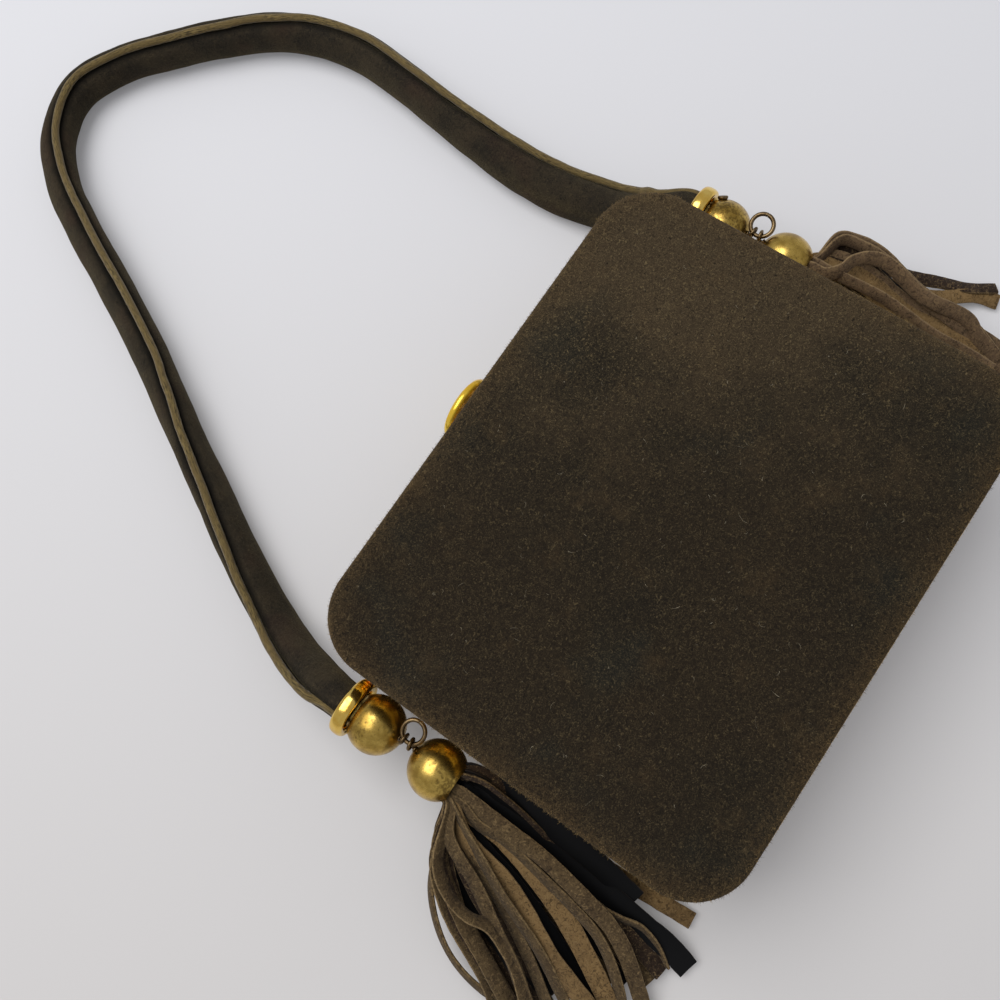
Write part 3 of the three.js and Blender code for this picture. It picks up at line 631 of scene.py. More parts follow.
@dataclass(frozen=True)
class Strips:
    """Suede tassel strips. Each strip's own tone picks umber, taupe, rose, tan or smooth black."""

    umber: tuple = srgb(50, 38, 29)
    taupe: tuple = srgb(86, 70, 47)
    rose: tuple = srgb(112, 91, 68)
    tan: tuple = srgb(122, 97, 62)
    black: tuple = srgb(5, 5, 6)
    cut: tuple = srgb(142, 119, 82)
    root: tuple = srgb(26, 19, 13)

    def paint(self) -> bpy.types.Material:
        """Makes the material."""
        paint = Paint("suede_strips", Sheen_Weight=0.04, Sheen_Roughness=0.5, Specular_IOR_Level=0.14)
        tone = paint.node("ShaderNodeAttribute", {"attribute_name": "tone"}, output="Fac")
        edge = paint.node("ShaderNodeAttribute", {"attribute_name": "edge"}, output="Fac")
        nap = paint.noise(850, detail=4, rough=0.75, swirl=1.4)
        cloud = paint.noise(95, detail=3)
        bands = ((0.0, 0.12, self.umber), (0.28, 0.44, self.taupe), (0.49, 0.63, self.rose), (0.65, 0.8, self.tan))
        stops = [(place, colour) for low, high, colour in bands for place in (low, high)]
        colour = paint.node("ShaderNodeValToRGB", {"stops": stops}, {"Fac": tone})
        soft = tone.step(0.95, 0.9)
        colour = paint.blend(cloud.step(0.42, 0.68) * 0.35, colour, self.umber)
        colour = paint.blend(nap.step(0.5, 0.36) * 0.65, colour, self.root)
        colour = paint.blend(nap.step(0.52, 0.66) * 0.5, colour, self.cut)
        colour = paint.blend(edge.step(0.5, 1.0) * (nap.step(0.4, 0.6) * 0.5 + 0.2), colour, self.cut)
        colour = paint.blend(soft, paint.blend(edge.step(0.5, 1.0) * 0.35, self.black, self.umber), colour)
        rough = soft * 0.37 + 0.58
        paint.feed(Base_Color=colour, Roughness=rough, Normal=paint.bump(nap * soft, 0.0004, 0.7))
        return paint.material


@dataclass(frozen=True)
class Fibre:
    """Loose fibres, each a little different in colour."""

    name: str
    dark: tuple
    pale: tuple

    def paint(self) -> bpy.types.Material:
        """Makes the material."""
        paint = Paint(self.name, Roughness=0.9, Specular_IOR_Level=0.1)
        paint.feed(Base_Color=paint.blend(paint.noise(400, detail=2).step(0.4, 0.62), self.dark, self.pale))
        return paint.material


class Shelf:
    """The materials, each made once."""

    def __init__(self) -> None:
        """Starts with none made."""
        self.made: dict[str, bpy.types.Material] = {}

    def take(self, name: str, make: Callable[[], bpy.types.Material]) -> bpy.types.Material:
        """The material of that name, made if it is the first time."""
        if name not in self.made:
            self.made[name] = make()
        return self.made[name]


SHELF = Shelf()


def dress(piece: bpy.types.Object, material: bpy.types.Material) -> None:
    """Gives a whole piece one material."""
    piece.data.materials.clear()
    piece.data.materials.append(material)


def finish_piece(
    piece: bpy.types.Object, body: str, slot: str, material: bpy.types.Material, *nodes: str
) -> bpy.types.Object:
    """Dresses a finished piece, sets it on its body and says what it stands for.

    Args:
        piece: The new object.
        body: The CAD body that it moves with.
        slot: The record's material slot; not used.
        material: Its material.
        nodes: The CAD nodes that it replaces.

    Returns:
        The same object.
    """
    dress(piece, material)
    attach(piece, body)
    if nodes:
        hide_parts(*nodes)
    log.info("%s rides on %s and replaces %s", piece.name, body, ", ".join(nodes) or "nothing")
    return piece


# The case


@dataclass
class Case:
    """The hard case: two trays of board, covered in suede outside and cloth inside, with gilt mouth frames."""

    half_width: float = 80 * MM
    half_height: float = 63.75 * MM
    corner: float = 17.5 * MM
    depth: float = 50 * MM
    seam: float = 30 * MM
    seam_gap: float = 0.3 * MM
    frame_height: float = 3.2 * MM
    fit: float = 0.3 * MM
    suede_thick: float = 1.2 * MM
    wall: float = 4.6 * MM
    lining_thick: float = 0.8 * MM
    edge_round: float = 2.4 * MM
    clasp_hole: float = 3.9 * MM
    stud_hole: float = 1.9 * MM
    ring_y: float = 46 * MM
    hardware_z: float = 24 * MM

    def block(self, inset: float, low: float, high: float) -> bpy.types.Object:
        """A block over the case's outline, inset all round, with rounded corners."""
        x, y = self.half_width - inset, self.half_height - inset
        block = bar(Vector((-x, -y, low)), Vector((x, y, high)))
        with editing(block, "EDGE") as mesh:
            pick_edges(mesh, lambda a, b: abs(a.z - b.z) > 0.5 * (high - low))
            bpy.ops.mesh.bevel(offset=self.corner - inset, segments=24, profile=0.5, affect="EDGES")
        return block

    def tray(self, inset: float, floor: float, mouth: float, thick: float, outer: float) -> bpy.types.Object:
        """An open tray.

        Args:
            inset: How far its outside lies inside the case's outline.
            floor: The height of its outer floor.
            mouth: The height of its rim, above or below the floor.
            thick: The thickness of its walls.
            outer: How far its outer floor edge is rounded.

        Returns:
            The tray.
        """
        up = 1 if mouth > floor else -1
        tray = self.block(inset, min(floor, mouth), max(floor, mouth))
        near = 1e-6
        if outer:
            with editing(tray, "EDGE") as mesh:
                pick_edges(mesh, lambda a, b: abs(a.z - floor) < near and abs(b.z - floor) < near)
                bpy.ops.mesh.bevel(offset=outer, segments=8, profile=0.5, affect="EDGES")
        with editing(tray) as mesh:
            pick_faces(mesh, lambda middle, normal: normal.z * up > 0.9 and abs(middle.z - mouth) < near)
            bpy.ops.mesh.inset(thickness=thick, use_even_offset=True)
            drop = (floor - mouth) + up * thick
            bpy.ops.mesh.extrude_region_move(TRANSFORM_OT_translate={"value": (0, 0, drop)})
        return tray

    def drill(self, piece: bpy.types.Object, sides: bool) -> None:
        """Cuts the clasp's hole, and the ring studs' holes too where sides is true."""
        reach = self.half_height + 5 * MM
        inner = self.half_height - self.wall - 5 * MM
        at = Vector((0, 0, self.hardware_z))
        fuse(piece, rod(at + Vector((0, inner, 0)), at + Vector((0, reach, 0)), self.clasp_hole), "DIFFERENCE")
        if sides:
            for sign in (-1, 1):
                start = Vector((sign * (self.half_width + 5 * MM), self.ring_y, self.hardware_z))
                end = Vector((sign * (self.half_width - self.wall - 5 * MM), self.ring_y, self.hardware_z))
                fuse(piece, rod(start, end, self.stud_hole), "DIFFERENCE")

    def mouth_frame(self, low: float, high: float) -> bpy.types.Object:
        """The gilt band round a tray's mouth, with softened edges."""
        band = self.block(0, low, high)
        with editing(band) as mesh:
            pick_faces(mesh, lambda middle, normal: abs(normal.z) > 0.9)
            bpy.ops.mesh.inset(thickness=self.wall, use_even_offset=True)
            bpy.ops.mesh.bridge_edge_loops()
        return band

    def build(self) -> None:
        """Builds and dresses both halves."""
        suede = SHELF.take(
            "suede", lambda: Suede().paint(self.half_width, self.half_height, self.corner)
        )
        gilt = SHELF.take("gilt", GILT.paint)
        cloth = SHELF.take("lining", LINING.paint)
        board = SHELF.take("board", BOARD.paint)
        for half, body, floor, up in (("back", "case", 0.0, 1), ("front", "lid", self.depth, -1)):
            seam = self.seam - up * self.seam_gap / 2
            rim = seam - up * (self.frame_height + self.fit)
            cover = self.tray(0, floor, rim, self.suede_thick, self.edge_round)
            inset = self.wall - self.lining_thick
            lining = self.tray(inset, floor + up * inset, rim, self.lining_thick, 0)
            frame_low = seam - up * self.frame_height
            band = self.mouth_frame(min(seam, frame_low), max(seam, frame_low))
            if half == "back":
                self.drill(cover, True)
                self.drill(lining, True)
                self.drill(band, False)
            soften(cover, 0.25 * MM, 2)
            soften(lining, 0.2 * MM, 2)
            soften(band, 0.5 * MM, 4)
            for piece, part, slot, material in (
                (cover, "suede_cover", "suede", suede),
                (lining, "lining", "lining", cloth),
                (band, "mouth_frame", "gilt", gilt),
            ):
                piece.name = f"{half}_{part}_fine"
                finish_piece(piece, body, slot, material, f"{half}_{part}")
            dress(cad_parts[f"{half}_shell"], board)


@dataclass
class Nap:
    """Fine fibres: a nap that stands off the case's rounded edges, and lint that lies on its face."""

    case: Case
    edge_count: int = 7000
    edge_length: tuple[float, float] = (0.15, 0.5)
    edge_width: float = 0.08
    lint_count: int = 240
    lint_length: tuple[float, float] = (0.5, 2.4)
    lint_width: float = 0.07
    seed: int = 5

    def outline(self, share: float, inset: float) -> tuple[Vector, Vector]:
        """A place on the case's outline.

        Args:
            share: How far round, from 0 to 1.
            inset: How far inside the outline.

        Returns:
            The place, at height 0, and the way out from there.
        """
        radius = self.case.corner
        flat_x, flat_y = self.case.half_width - radius, self.case.half_height - radius
        arc = math.pi / 2 * radius
        left = share * 4 * (flat_x + flat_y + arc)
        for turn in range(4):
            way = Matrix.Rotation(turn * math.pi / 2, 3, "Z")
            reach, side = (flat_x, flat_y) if turn % 2 == 0 else (flat_y, flat_x)
            if left < 2 * side:
                return way @ Vector((reach + radius - inset, left - side, 0)), way @ Vector((1, 0, 0))
            left -= 2 * side
            if left < arc:
                out = Vector((math.cos(left / radius), math.sin(left / radius), 0))
                return way @ (Vector((reach, side, 0)) + out * (radius - inset)), way @ out
            left -= arc
        return self.outline(0.0, inset)

    def piece(self, name: str, fibres: Sequence[Sequence[Vector]], width: float) -> bpy.types.Object:
        """One mesh of tapering flat fibres.

        Args:
            name: The new object's name.
            fibres: The points that each fibre runs through.
            width: Its width at its root.

        Returns:
            The object.
        """
        points, faces = [], []
        for fibre in fibres:
            base = len(points)
            across = (fibre[-1] - fibre[0]).cross(Vector((0.3, 0.2, 1))).normalized() * width / 2
            for number, point in enumerate(fibre):
                taper = 1 - 0.8 * number / (len(fibre) - 1)
                points += [point - across * taper, point + across * taper]
            for number in range(len(fibre) - 1):
                low = base + 2 * number
                faces.append((low, low + 1, low + 3, low + 2))
        data = bpy.data.meshes.new(name)
        data.from_pydata([point * MM for point in points], [], faces)
        piece = bpy.data.objects.new(name, data)
        bpy.context.scene.collection.objects.link(piece)
        return piece

    def edge(self, floor: float, up: int) -> list[list[Vector]]:
        """Short fibres off one half's rounded edge.

        Args:
            floor: The height of that half's face, in millimetres.
            up: The way from its face into the case, 1 or -1.

        Returns:
            The fibres, in millimetres.
        """
        draw = random.Random(self.seed + up)
        round_off = self.case.edge_round / MM
        made = []
        for _ in range(self.edge_count):
            place, out = self.outline(draw.random(), self.case.edge_round)
            tilt = math.radians(draw.uniform(-8, 75))
            normal = out * math.cos(tilt) - Vector((0, 0, up)) * math.sin(tilt)
            root = place / MM + Vector((0, 0, floor + up * round_off)) + normal * (round_off - 0.03)
            stray = Vector([draw.uniform(-0.8, 0.8) for _ in range(3)])
            length = draw.uniform(*self.edge_length)
            middle = root + (normal + stray) * length * 0.5
            fibre = [root, middle, middle + (normal + stray * 1.6) * length * 0.5]
            low, high = 0.05, self.case.depth / MM - 0.05
            made.append([Vector((point.x, point.y, min(max(point.z, low), high + 0.4))) for point in fibre])
        return made

    def lint(self, face: float) -> list[list[Vector]]:
        """Curled fibres lying on the face at a height in millimetres."""
        draw = random.Random(self.seed)
        made = []
        half_x, half_y = (self.case.half_width - 6 * MM) / MM, (self.case.half_height - 6 * MM) / MM
        for _ in range(self.lint_count):
            place = Vector((draw.uniform(-half_x, half_x), draw.uniform(-half_y, half_y), face + 0.05))
            heading, bend = draw.uniform(0, 2 * math.pi), draw.gauss(0, 0.5)
            step = draw.uniform(*self.lint_length) * draw.random() / 4 + 0.08
            fibre = [place]
            for _ in range(5):
                heading += bend
                fibre.append(fibre[-1] + Vector((math.cos(heading), math.sin(heading), 0)) * step)
            made.append(fibre)
        return made

    def build(self) -> None:
        """Builds and dresses the nap of both halves and the lint on the front."""
        nap = SHELF.take("suede_nap", lambda: Fibre("suede_nap", srgb(78, 64, 42), srgb(142, 118, 78)).paint())
        pale = SHELF.take("suede_lint", lambda: Fibre("suede_lint", srgb(92, 82, 62), srgb(170, 160, 136)).paint())
        depth = self.case.depth / MM
        for half, body, floor, up in (("back", "case", 0.0, 1), ("front", "lid", depth, -1)):
            piece = self.piece(f"{half}_nap", self.edge(floor, up), self.edge_width)
            finish_piece(piece, body, "suede", nap)
        lint = self.piece("front_lint", self.lint(depth), self.lint_width)
        finish_piece(lint, "lid", "suede", pale)


@dataclass
class Hinge:
    """The strip hinge along the case's bottom edge."""

    length: float = 112 * MM
    knuckles: int = 7
    gap: float = 0.4 * MM
    radius: float = 1.3 * MM
    leaf_thick: float = 0.6 * MM
    leaf_height: float = 1.6 * MM
    axis_y: float = -65.35 * MM
    axis_z: float = 30 * MM
    face_y: float = -64.05 * MM
    clear: float = 0.6 * MM
    pin_radius: float = 0.5 * MM
    head_radius: float = 1.05 * MM
    head_length: float = 0.8 * MM

    def at(self, x: float) -> Vector:
        """A point of the hinge's axis."""
        return Vector((x, self.axis_y, self.axis_z))

    def leaf(self, up: int, first: int) -> bpy.types.Object:
        """One leaf with its knuckles.

        Args:
            up: 1 for the front's leaf, above the axis, and -1 for the back's.
            first: The number of its first knuckle.

        Returns:
            The leaf.
        """
        near = self.axis_z + up * (self.radius + self.clear)
        far = near + up * self.leaf_height
        low, high = min(near, far), max(near, far)
        half = self.length / 2
        leaf = bar(Vector((-half, self.face_y - self.leaf_thick, low)), Vector((half, self.face_y, high)))
        pitch = self.length / self.knuckles
        for number in range(first, self.knuckles, 2):
            start = -half + number * pitch + self.gap / 2
            end = start + pitch - self.gap
            tab_ends = sorted((self.axis_z, near + up * 0.1 * MM))
            tab = bar(
                Vector((start, self.face_y - self.leaf_thick, tab_ends[0])), Vector((end, self.face_y, tab_ends[1]))
            )
            fuse(leaf, tab)
            fuse(leaf, rod(self.at(start), self.at(end), self.radius, 40))
        fuse(leaf, rod(self.at(-self.length), self.at(self.length), self.pin_radius + 0.08 * MM, 24), "DIFFERENCE")
        soften(leaf, 0.12 * MM, 2)
        return leaf

    def build(self) -> None:
        """Builds and dresses the leaves and the pin."""
        gilt = SHELF.take("gilt", GILT.paint)
        for half, body, up, first in (("back", "case", -1, 0), ("front", "lid", 1, 1)):
            leaf = self.leaf(up, first)
            leaf.name = f"hinge_leaf_{half}_fine"
            finish_piece(leaf, body, "gilt", gilt, f"hinge_leaf_{half}")
        shoulder = self.length / 2 + 0.1 * MM
        pin = rod(self.at(-shoulder - 0.2 * MM), self.at(shoulder + 0.2 * MM), self.pin_radius)
        for sign in (-1, 1):
            head = rod(self.at(sign * shoulder), self.at(sign * (shoulder + self.head_length)), self.head_radius)
            fuse(pin, head)
        soften(pin, 0.25 * MM)
        pin.name = "hinge_pin_fine"
        finish_piece(pin, "case", "steel", SHELF.take("steel", STEEL.paint), "hinge_pin")


@dataclass
class Clasp:
    """The sprung knob in its boss at the middle of the top edge, and the catch inside."""

    centre_z: float = 24 * MM
    boss_base: float = 64.05
    boss_height: float = 3.2
    boss_radius: float = 7.0
    boss_floor: float = 1.0
    cup_radius: float = 4.7
    sleeve_radius: float = 3.6
    sleeve_end: float = 56.75
    bore: float = 2.58
    stem_radius: float = 2.5
    stem_end: float = 53.85
    stem_head_radius: float = 3.4
    stem_head_length: float = 0.8
    knob_back: float = 69.45
    knob_radius: float = 10.3
    knob_thick: float = 3.4
    spring_radius: float = 3.6
    spring_wire: float = 0.4
    spring_turns: int = 3
    travel: float = 2.0

    def lathe(self, name: str, profile: Sequence[tuple[float, float]]) -> bpy.types.Object:
        """A turned piece on the knob's axis, from a profile in millimetres."""
        points = [(radius * MM, y * MM) for radius, y in profile]
        return turned(name, points, Vector((0, 0, self.centre_z)))

    def boss(self) -> bpy.types.Object:
        """The guide that the stem slides in, with a cup for the spring."""
        base, top = self.boss_base, self.boss_base + self.boss_height
        radius = self.boss_radius
        return self.lathe(
            "clasp_boss_fine",
            [
                (self.bore, self.sleeve_end),
                (self.sleeve_radius, self.sleeve_end),
                (self.sleeve_radius, base),
                (radius - 0.3, base),
                (radius, base + 0.3),
                (radius, base + 0.9),
                (radius - 0.35, base + 1.2),
                (radius - 0.5, base + 1.5),
                (radius - 0.6, top - 0.4),
                (radius - 0.75, top - 0.1),
                (radius - 1.0, top),
                (self.cup_radius + 0.2, top),
                (self.cup_radius, top - 0.2),
                (self.cup_radius, base + self.boss_floor),
                (self.bore, base + self.boss_floor),
                (self.bore, self.sleeve_end),
            ],
        )

    def knob(self) -> bpy.types.Object:
        """The disc with a beaded rim on its back and a low dome on its face, and its stem."""
        back, face = self.knob_back, self.knob_back + self.knob_thick
        edge = self.knob_radius
        stem_top = self.stem_end + self.stem_head_length
        return self.lathe(
            "clasp_knob_fine",
            [
                (0, self.stem_end),
                (self.stem_head_radius - 0.2, self.stem_end),
                (self.stem_head_radius, self.stem_end + 0.2),
                (self.stem_head_radius, stem_top),
                (self.stem_radius, stem_top),
                (self.stem_radius, back),
                (edge - 1.3, back),
                (edge - 1.15, back + 0.12),
                (edge - 1.0, back + 0.12),
                (edge - 0.85, back),
                (edge - 0.3, back + 0.12),
                (edge - 0.05, back + 0.5),
                (edge, back + 1.1),
                (edge - 0.1, back + 1.6),
                (edge - 0.45, back + 2.1),
                (edge - 1.0, back + 2.4),
                (edge - 1.5, back + 2.45),
                (edge - 1.8, back + 2.3),
                (edge - 2.1, back + 2.45),
                (edge - 3.6, back + 2.85),
                (edge - 5.6, back + 3.15),
                (edge - 8.0, face - 0.05),
                (0, face),
            ],
        )

    def spring(self) -> bpy.types.Object:
        """The coil in the cup."""
        reach = self.spring_wire + 0.3
        low = self.boss_base + self.boss_floor + reach
        high = self.knob_back - reach
        steps, sides = 40 * self.spring_turns, 12
        sections = []
        for row in range(steps + 1):
            share = row / steps
            angle = 2 * math.pi * self.spring_turns * share
            out = Vector((math.cos(angle), 0, math.sin(angle)))
            middle = Vector((0, mix(low, high, share), 0)) + out * self.spring_radius
            ring = []
            for k in range(sides):
                turn = 2 * math.pi * k / sides
                offset = out * math.cos(turn) + Vector((0, 1, 0)) * math.sin(turn)
                ring.append((middle + offset * self.spring_wire) * MM + Vector((0, 0, self.centre_z)))
            sections.append(Section(ring, share * 0.07))
        spring = swept("clasp_spring_fine", sections)
        shade(spring, 60)
        return spring

    def build(self) -> None:
        """Builds and dresses the clasp."""
        gilt = SHELF.take("gilt", GILT.paint)
        steel = SHELF.take("steel", STEEL.paint)
        finish_piece(self.boss(), "case", "gilt", gilt, "clasp_boss")
        amber = SHELF.take("amber_gilt", AMBER.paint)
        finish_piece(self.knob(), "clasp_button", "gilt", amber, "clasp_knob")
        spring = finish_piece(self.spring(), "case", "steel", steel, "clasp_spring")
        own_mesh(spring)
        for node in ("clasp_latch", "clasp_keeper"):
            dress(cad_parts[node], steel)


# Rings, balls and links


class Side(Enum):
    """The two ends of the strap: which way is out, and how the jump ring has fallen there, in degrees."""

    LEFT = ("left", -1, 10.0, -40.0)
    RIGHT = ("right", 1, 20.0, 40.0)

    @property
    def label(self) -> str:
        """The word that the pieces' names end in."""
        return self.value[0]

    @property
    def sign(self) -> int:
        """-1 on the left and 1 on the right."""
        return self.value[1]

    @property
    def lay(self) -> float:
        """How far the jump ring's plane is turned up from the table, in radians."""
        return math.radians(self.value[2])

    @property
    def pin_turn(self) -> float:
        """Where the stopper pin's head points, in radians above the outward side."""
        return math.radians(self.value[3])


@dataclass
class Chain:
    """One end of the strap: the fixed ring, the stopper ball, the jump ring and the ball over the tassel."""

    side: Side
    ring_x: float = 90.6
    ring_y: float = 46.0
    height: float = 24.0
    bore: float = 6.4
    ring_radius: float = 9.0
    band: float = 4.3
    neck: float = 1.9
    flange_radius: float = 3.6
    flange_thick: float = 1.0
    stud: float = 1.6
    case_side: float = 80.3
    stud_end: float = 71.4
    ball: float = 8.6
    spacing: float = 4.4
    seat: float = 0.5
    link_reach: float = 5.7
    link_rise: float = 4.0
    jump_radius: float = 3.35
    jump_wire: float = 0.65
    eye_radius: float = 1.6
    eye_wire: float = 0.45
    eye_spread: float = 1.2
    eye_tilt: float = math.radians(8)
    shank: float = 3.0
    socket: float = 4.7
    socket_depth: float = 5.3
    pin: float = 0.9
    pin_head: float = 1.6
    pin_head_height: float = 0.7
    fit: float = 0.3

    @property
    def stopper_y(self) -> float:
        """Where the stopper ball's centre lies."""
        return self.ring_y - self.band / 2 - self.seat - math.sqrt(self.ball**2 - self.bore**2)

    @property
    def link_y(self) -> float:
        """Half way between the balls."""
        return self.stopper_y - self.ball - self.spacing / 2

    @property
    def tassel_y(self) -> float:
        """Where the tassel ball's centre lies."""
        return self.stopper_y - 2 * self.ball - self.spacing

    def on_line(self, y: float) -> Vector:
        """A point of the chain's straight line, in metres."""
        return Vector((self.side.sign * self.ring_x, y, self.height)) * MM

    def point(self, reach: float, rise: float, y: float) -> Vector:
        """A point off the chain's line, turned with the jump ring, in metres."""
        lay = self.side.lay
        out = reach * math.cos(lay) - rise * math.sin(lay)
        up = reach * math.sin(lay) + rise * math.cos(lay)
        return self.on_line(y) + Vector((out, 0, up)) * MM

    def ring(self) -> bpy.types.Object:
        """The rounded band with its neck, flange and stud."""
        half = (self.ring_radius - self.bore) / 2
        profile = []
        for k in range(33):
            angle = 2 * math.pi * k / 32
            radius = self.bore + half + half * math.copysign(abs(math.cos(angle)) ** 0.8, math.cos(angle))
            width = self.band / 2 * math.copysign(abs(math.sin(angle)) ** 0.8, math.sin(angle))
            profile.append((radius * MM, width * MM))
        ring = turned("ring", profile, self.on_line(self.ring_y), 128)
        sign = self.side.sign

        def at(x: float) -> Vector:
            """A point of the stud's axis."""
            return Vector((sign * x, self.ring_y, self.height)) * MM

        flange_end = self.case_side + self.flange_thick
        neck = rod(at(self.ring_x - self.bore - half), at(self.case_side + 0.2), self.neck * MM)
        flange = rod(at(flange_end), at(self.case_side), self.flange_radius * MM, 64)
        soften(flange, 0.3 * MM)
        stud = rod(at(self.case_side + 0.2), at(self.stud_end + 0.3), self.stud * MM)
        for part in (neck, flange, stud):
            fuse(ring, part)
        shade(ring, 40)
        ring.name = f"side_ring_{self.side.label}_fine"
        return ring

    def ball_body(self, name: str, y: float, socket: bool) -> bpy.types.Object:
        """A hollow-looking brass ball; where socket is true, its lower end is open for the tassel."""
        start = math.asin(self.socket / self.ball) + 0.07 if socket else 0.0
        profile = [(0.0, -self.ball)]
        if socket:
            deep = -self.ball + self.socket_depth
            profile = [(0.0, deep), (self.socket, deep), (self.socket, -self.ball * math.cos(start) + 0.45)]
            profile.append((self.socket + 0.12, -self.ball * math.cos(start) + 0.1))
        steps = 44
        for k in range(0 if socket else 1, steps + 1):
            angle = mix(start, math.pi, k / steps)
            profile.append((self.ball * math.sin(angle), -self.ball * math.cos(angle)))
        profile[-1] = (0.0, self.ball)
        return turned(name, [(r * MM, h * MM) for r, h in profile], self.on_line(y), 96)

    def eye(self, name: str, end: int) -> bpy.types.Object:
        """The wire eye on the stopper ball, where end is 1, or on the tassel ball, where it is -1."""
        reach = self.link_reach - math.sqrt(self.jump_radius**2 - self.eye_spread**2)
        from_line = math.hypot(reach, self.link_rise)
        share = 1 - self.eye_radius / from_line
        out = (self.point(1, 0, 0) - self.point(0, 0, 0)).normalized()
        axis = Vector((0, math.cos(self.eye_tilt), 0)) + out * end * math.sin(self.eye_tilt)
        y = self.link_y + end * self.eye_spread
        eye = wire_ring(name, self.point(reach, self.link_rise, y), axis, self.eye_radius * MM, self.eye_wire * MM)
        ball_y = self.stopper_y if end > 0 else self.tassel_y
        surface = ball_y - end * math.sqrt(self.ball**2 - (share * from_line) ** 2)
        foot = self.point(reach * share, self.link_rise * share, surface + end * self.shank)
        start = self.point(reach * share, self.link_rise * share, y)
        fuse(eye, rod(start, foot, self.eye_wire * MM, 18))
        at_ball = self.point(reach * share, self.link_rise * share, surface)
        away = Vector((0, -end * MM, 0))
        collar = wire_ring("collar", at_ball + away * 0.15, away, 0.75 * MM, 0.28 * MM)
        fuse(eye, collar)
        shade(eye, 50)
        return eye

    def jump_ring(self) -> bpy.types.Object:
        """The wire ring through both eyes, with the fine slit where its ends meet."""
        axis = self.point(0, 1, 0) - self.point(0, 0, 0)
        centre = self.point(self.link_reach, self.link_rise, self.link_y)
        ring = wire_ring("jump_ring", centre, axis, self.jump_radius * MM, self.jump_wire * MM)
        outer = self.point(self.link_reach + self.jump_radius, self.link_rise, self.link_y)
        slit = bar(outer - Vector((1.5, 0.06, 1.5)) * MM, outer + Vector((1.5, 0.06, 1.5)) * MM)
        fuse(ring, slit, "DIFFERENCE")
        soften(ring, 0.05 * MM, 2)
        ring.name = f"jump_ring_{self.side.label}_fine"
        return ring

    def stopper_pin(self) -> bpy.types.Object:
        """The pin through the stopper ball, with its dark domed head."""
        reach = self.ball + self.fit + self.pin_head_height
        limit = self.ring_y - self.band / 2 - self.fit - self.pin_head - self.stopper_y
        rise, turn = math.asin(limit / reach), self.side.pin_turn
        way = Vector((self.side.sign * math.cos(turn), math.tan(rise), math.sin(turn))).normalized()
        centre = self.on_line(self.stopper_y)
        surface = self.ball + self.fit
        pin = rod(centre + way * -4.1 * MM, centre + way * (surface + 0.05) * MM, self.pin * MM, 24)
        head = rod(
            centre + way * (surface - 0.35) * MM,
            centre + way * (surface + self.pin_head_height) * MM,
            self.pin_head * MM,
            40,
        )
        soften(head, 0.45 * MM, 5)
        fuse(pin, head)
        shade(pin, 50)
        pin.name = f"stopper_pin_{self.side.label}_fine"
        return pin

    def nut(self) -> bpy.types.Object:
        """The six-sided nut on the stud, inside the case, with softened corners."""
        low, _ = (Vector(corner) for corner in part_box(f"side_ring_nut_{self.side.label}"))
        _, high = (Vector(corner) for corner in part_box(f"side_ring_nut_{self.side.label}"))
        at = Vector((0, self.ring_y, self.height)) * MM
        start, end = at + Vector((low.x, 0, 0)), at + Vector((high.x, 0, 0))
        nut = rod(start, end, 3.4 * MM, 6)
        soften(nut, 0.3 * MM, 2)
        beyond = Vector((1 * MM, 0, 0))
        fuse(nut, rod(start - beyond, end + beyond, (self.stud + 0.2) * MM, 24), "DIFFERENCE")
        shade(nut, 30)
        nut.name = f"side_ring_nut_{self.side.label}_fine"
        return nut

    def build(self) -> None:
        """Builds and dresses the chain."""
        label = self.side.label
        gilt = SHELF.take("gilt", GILT.paint)
        brass = SHELF.take("antique_brass", BRASS.paint)
        wire = SHELF.take("bronze_wire", WIRE.paint)
        steel = SHELF.take("steel", STEEL.paint)
        link, tassel = f"{label}_link", f"{label}_tassel"
        finish_piece(self.ring(), "case", "gilt", gilt, f"side_ring_{label}")
        finish_piece(self.nut(), "case", "steel", steel, f"side_ring_nut_{label}")
        stopper = self.ball_body(f"stopper_ball_{label}_fine", self.stopper_y, False)
        finish_piece(stopper, "case", "antique_brass", brass, f"stopper_ball_{label}")
        finish_piece(self.stopper_pin(), "case", "bronze_wire", wire, f"stopper_pin_{label}")
        eye = self.eye(f"stopper_eye_{label}_fine", 1)
        finish_piece(eye, "case", "bronze_wire", wire, f"stopper_eye_{label}")
        finish_piece(self.jump_ring(), link, "bronze_wire", wire, f"jump_ring_{label}")
        over = self.ball_body(f"tassel_ball_{label}_fine", self.tassel_y, True)
        finish_piece(over, tassel, "antique_brass", brass, f"tassel_ball_{label}")
        eye = self.eye(f"tassel_eye_{label}_fine", -1)
        finish_piece(eye, tassel, "bronze_wire", wire, f"tassel_eye_{label}")


# The strap


@dataclass(frozen=True)
class Station:
    """One place on the strap's route.

    Attributes:
        x: Across, in millimetres.
        y: Along the bag, in millimetres.
        z: The height of the strap's middle, or None where it lies on the table.
        lean: How far the piped edge leans in over the loop, in degrees.
        narrow: How far the section has been drawn in to pass the ring, from 0 to 1.
    """

    x: float
    y: float
    z: float | None
    lean: float
    narrow: float = 0.0


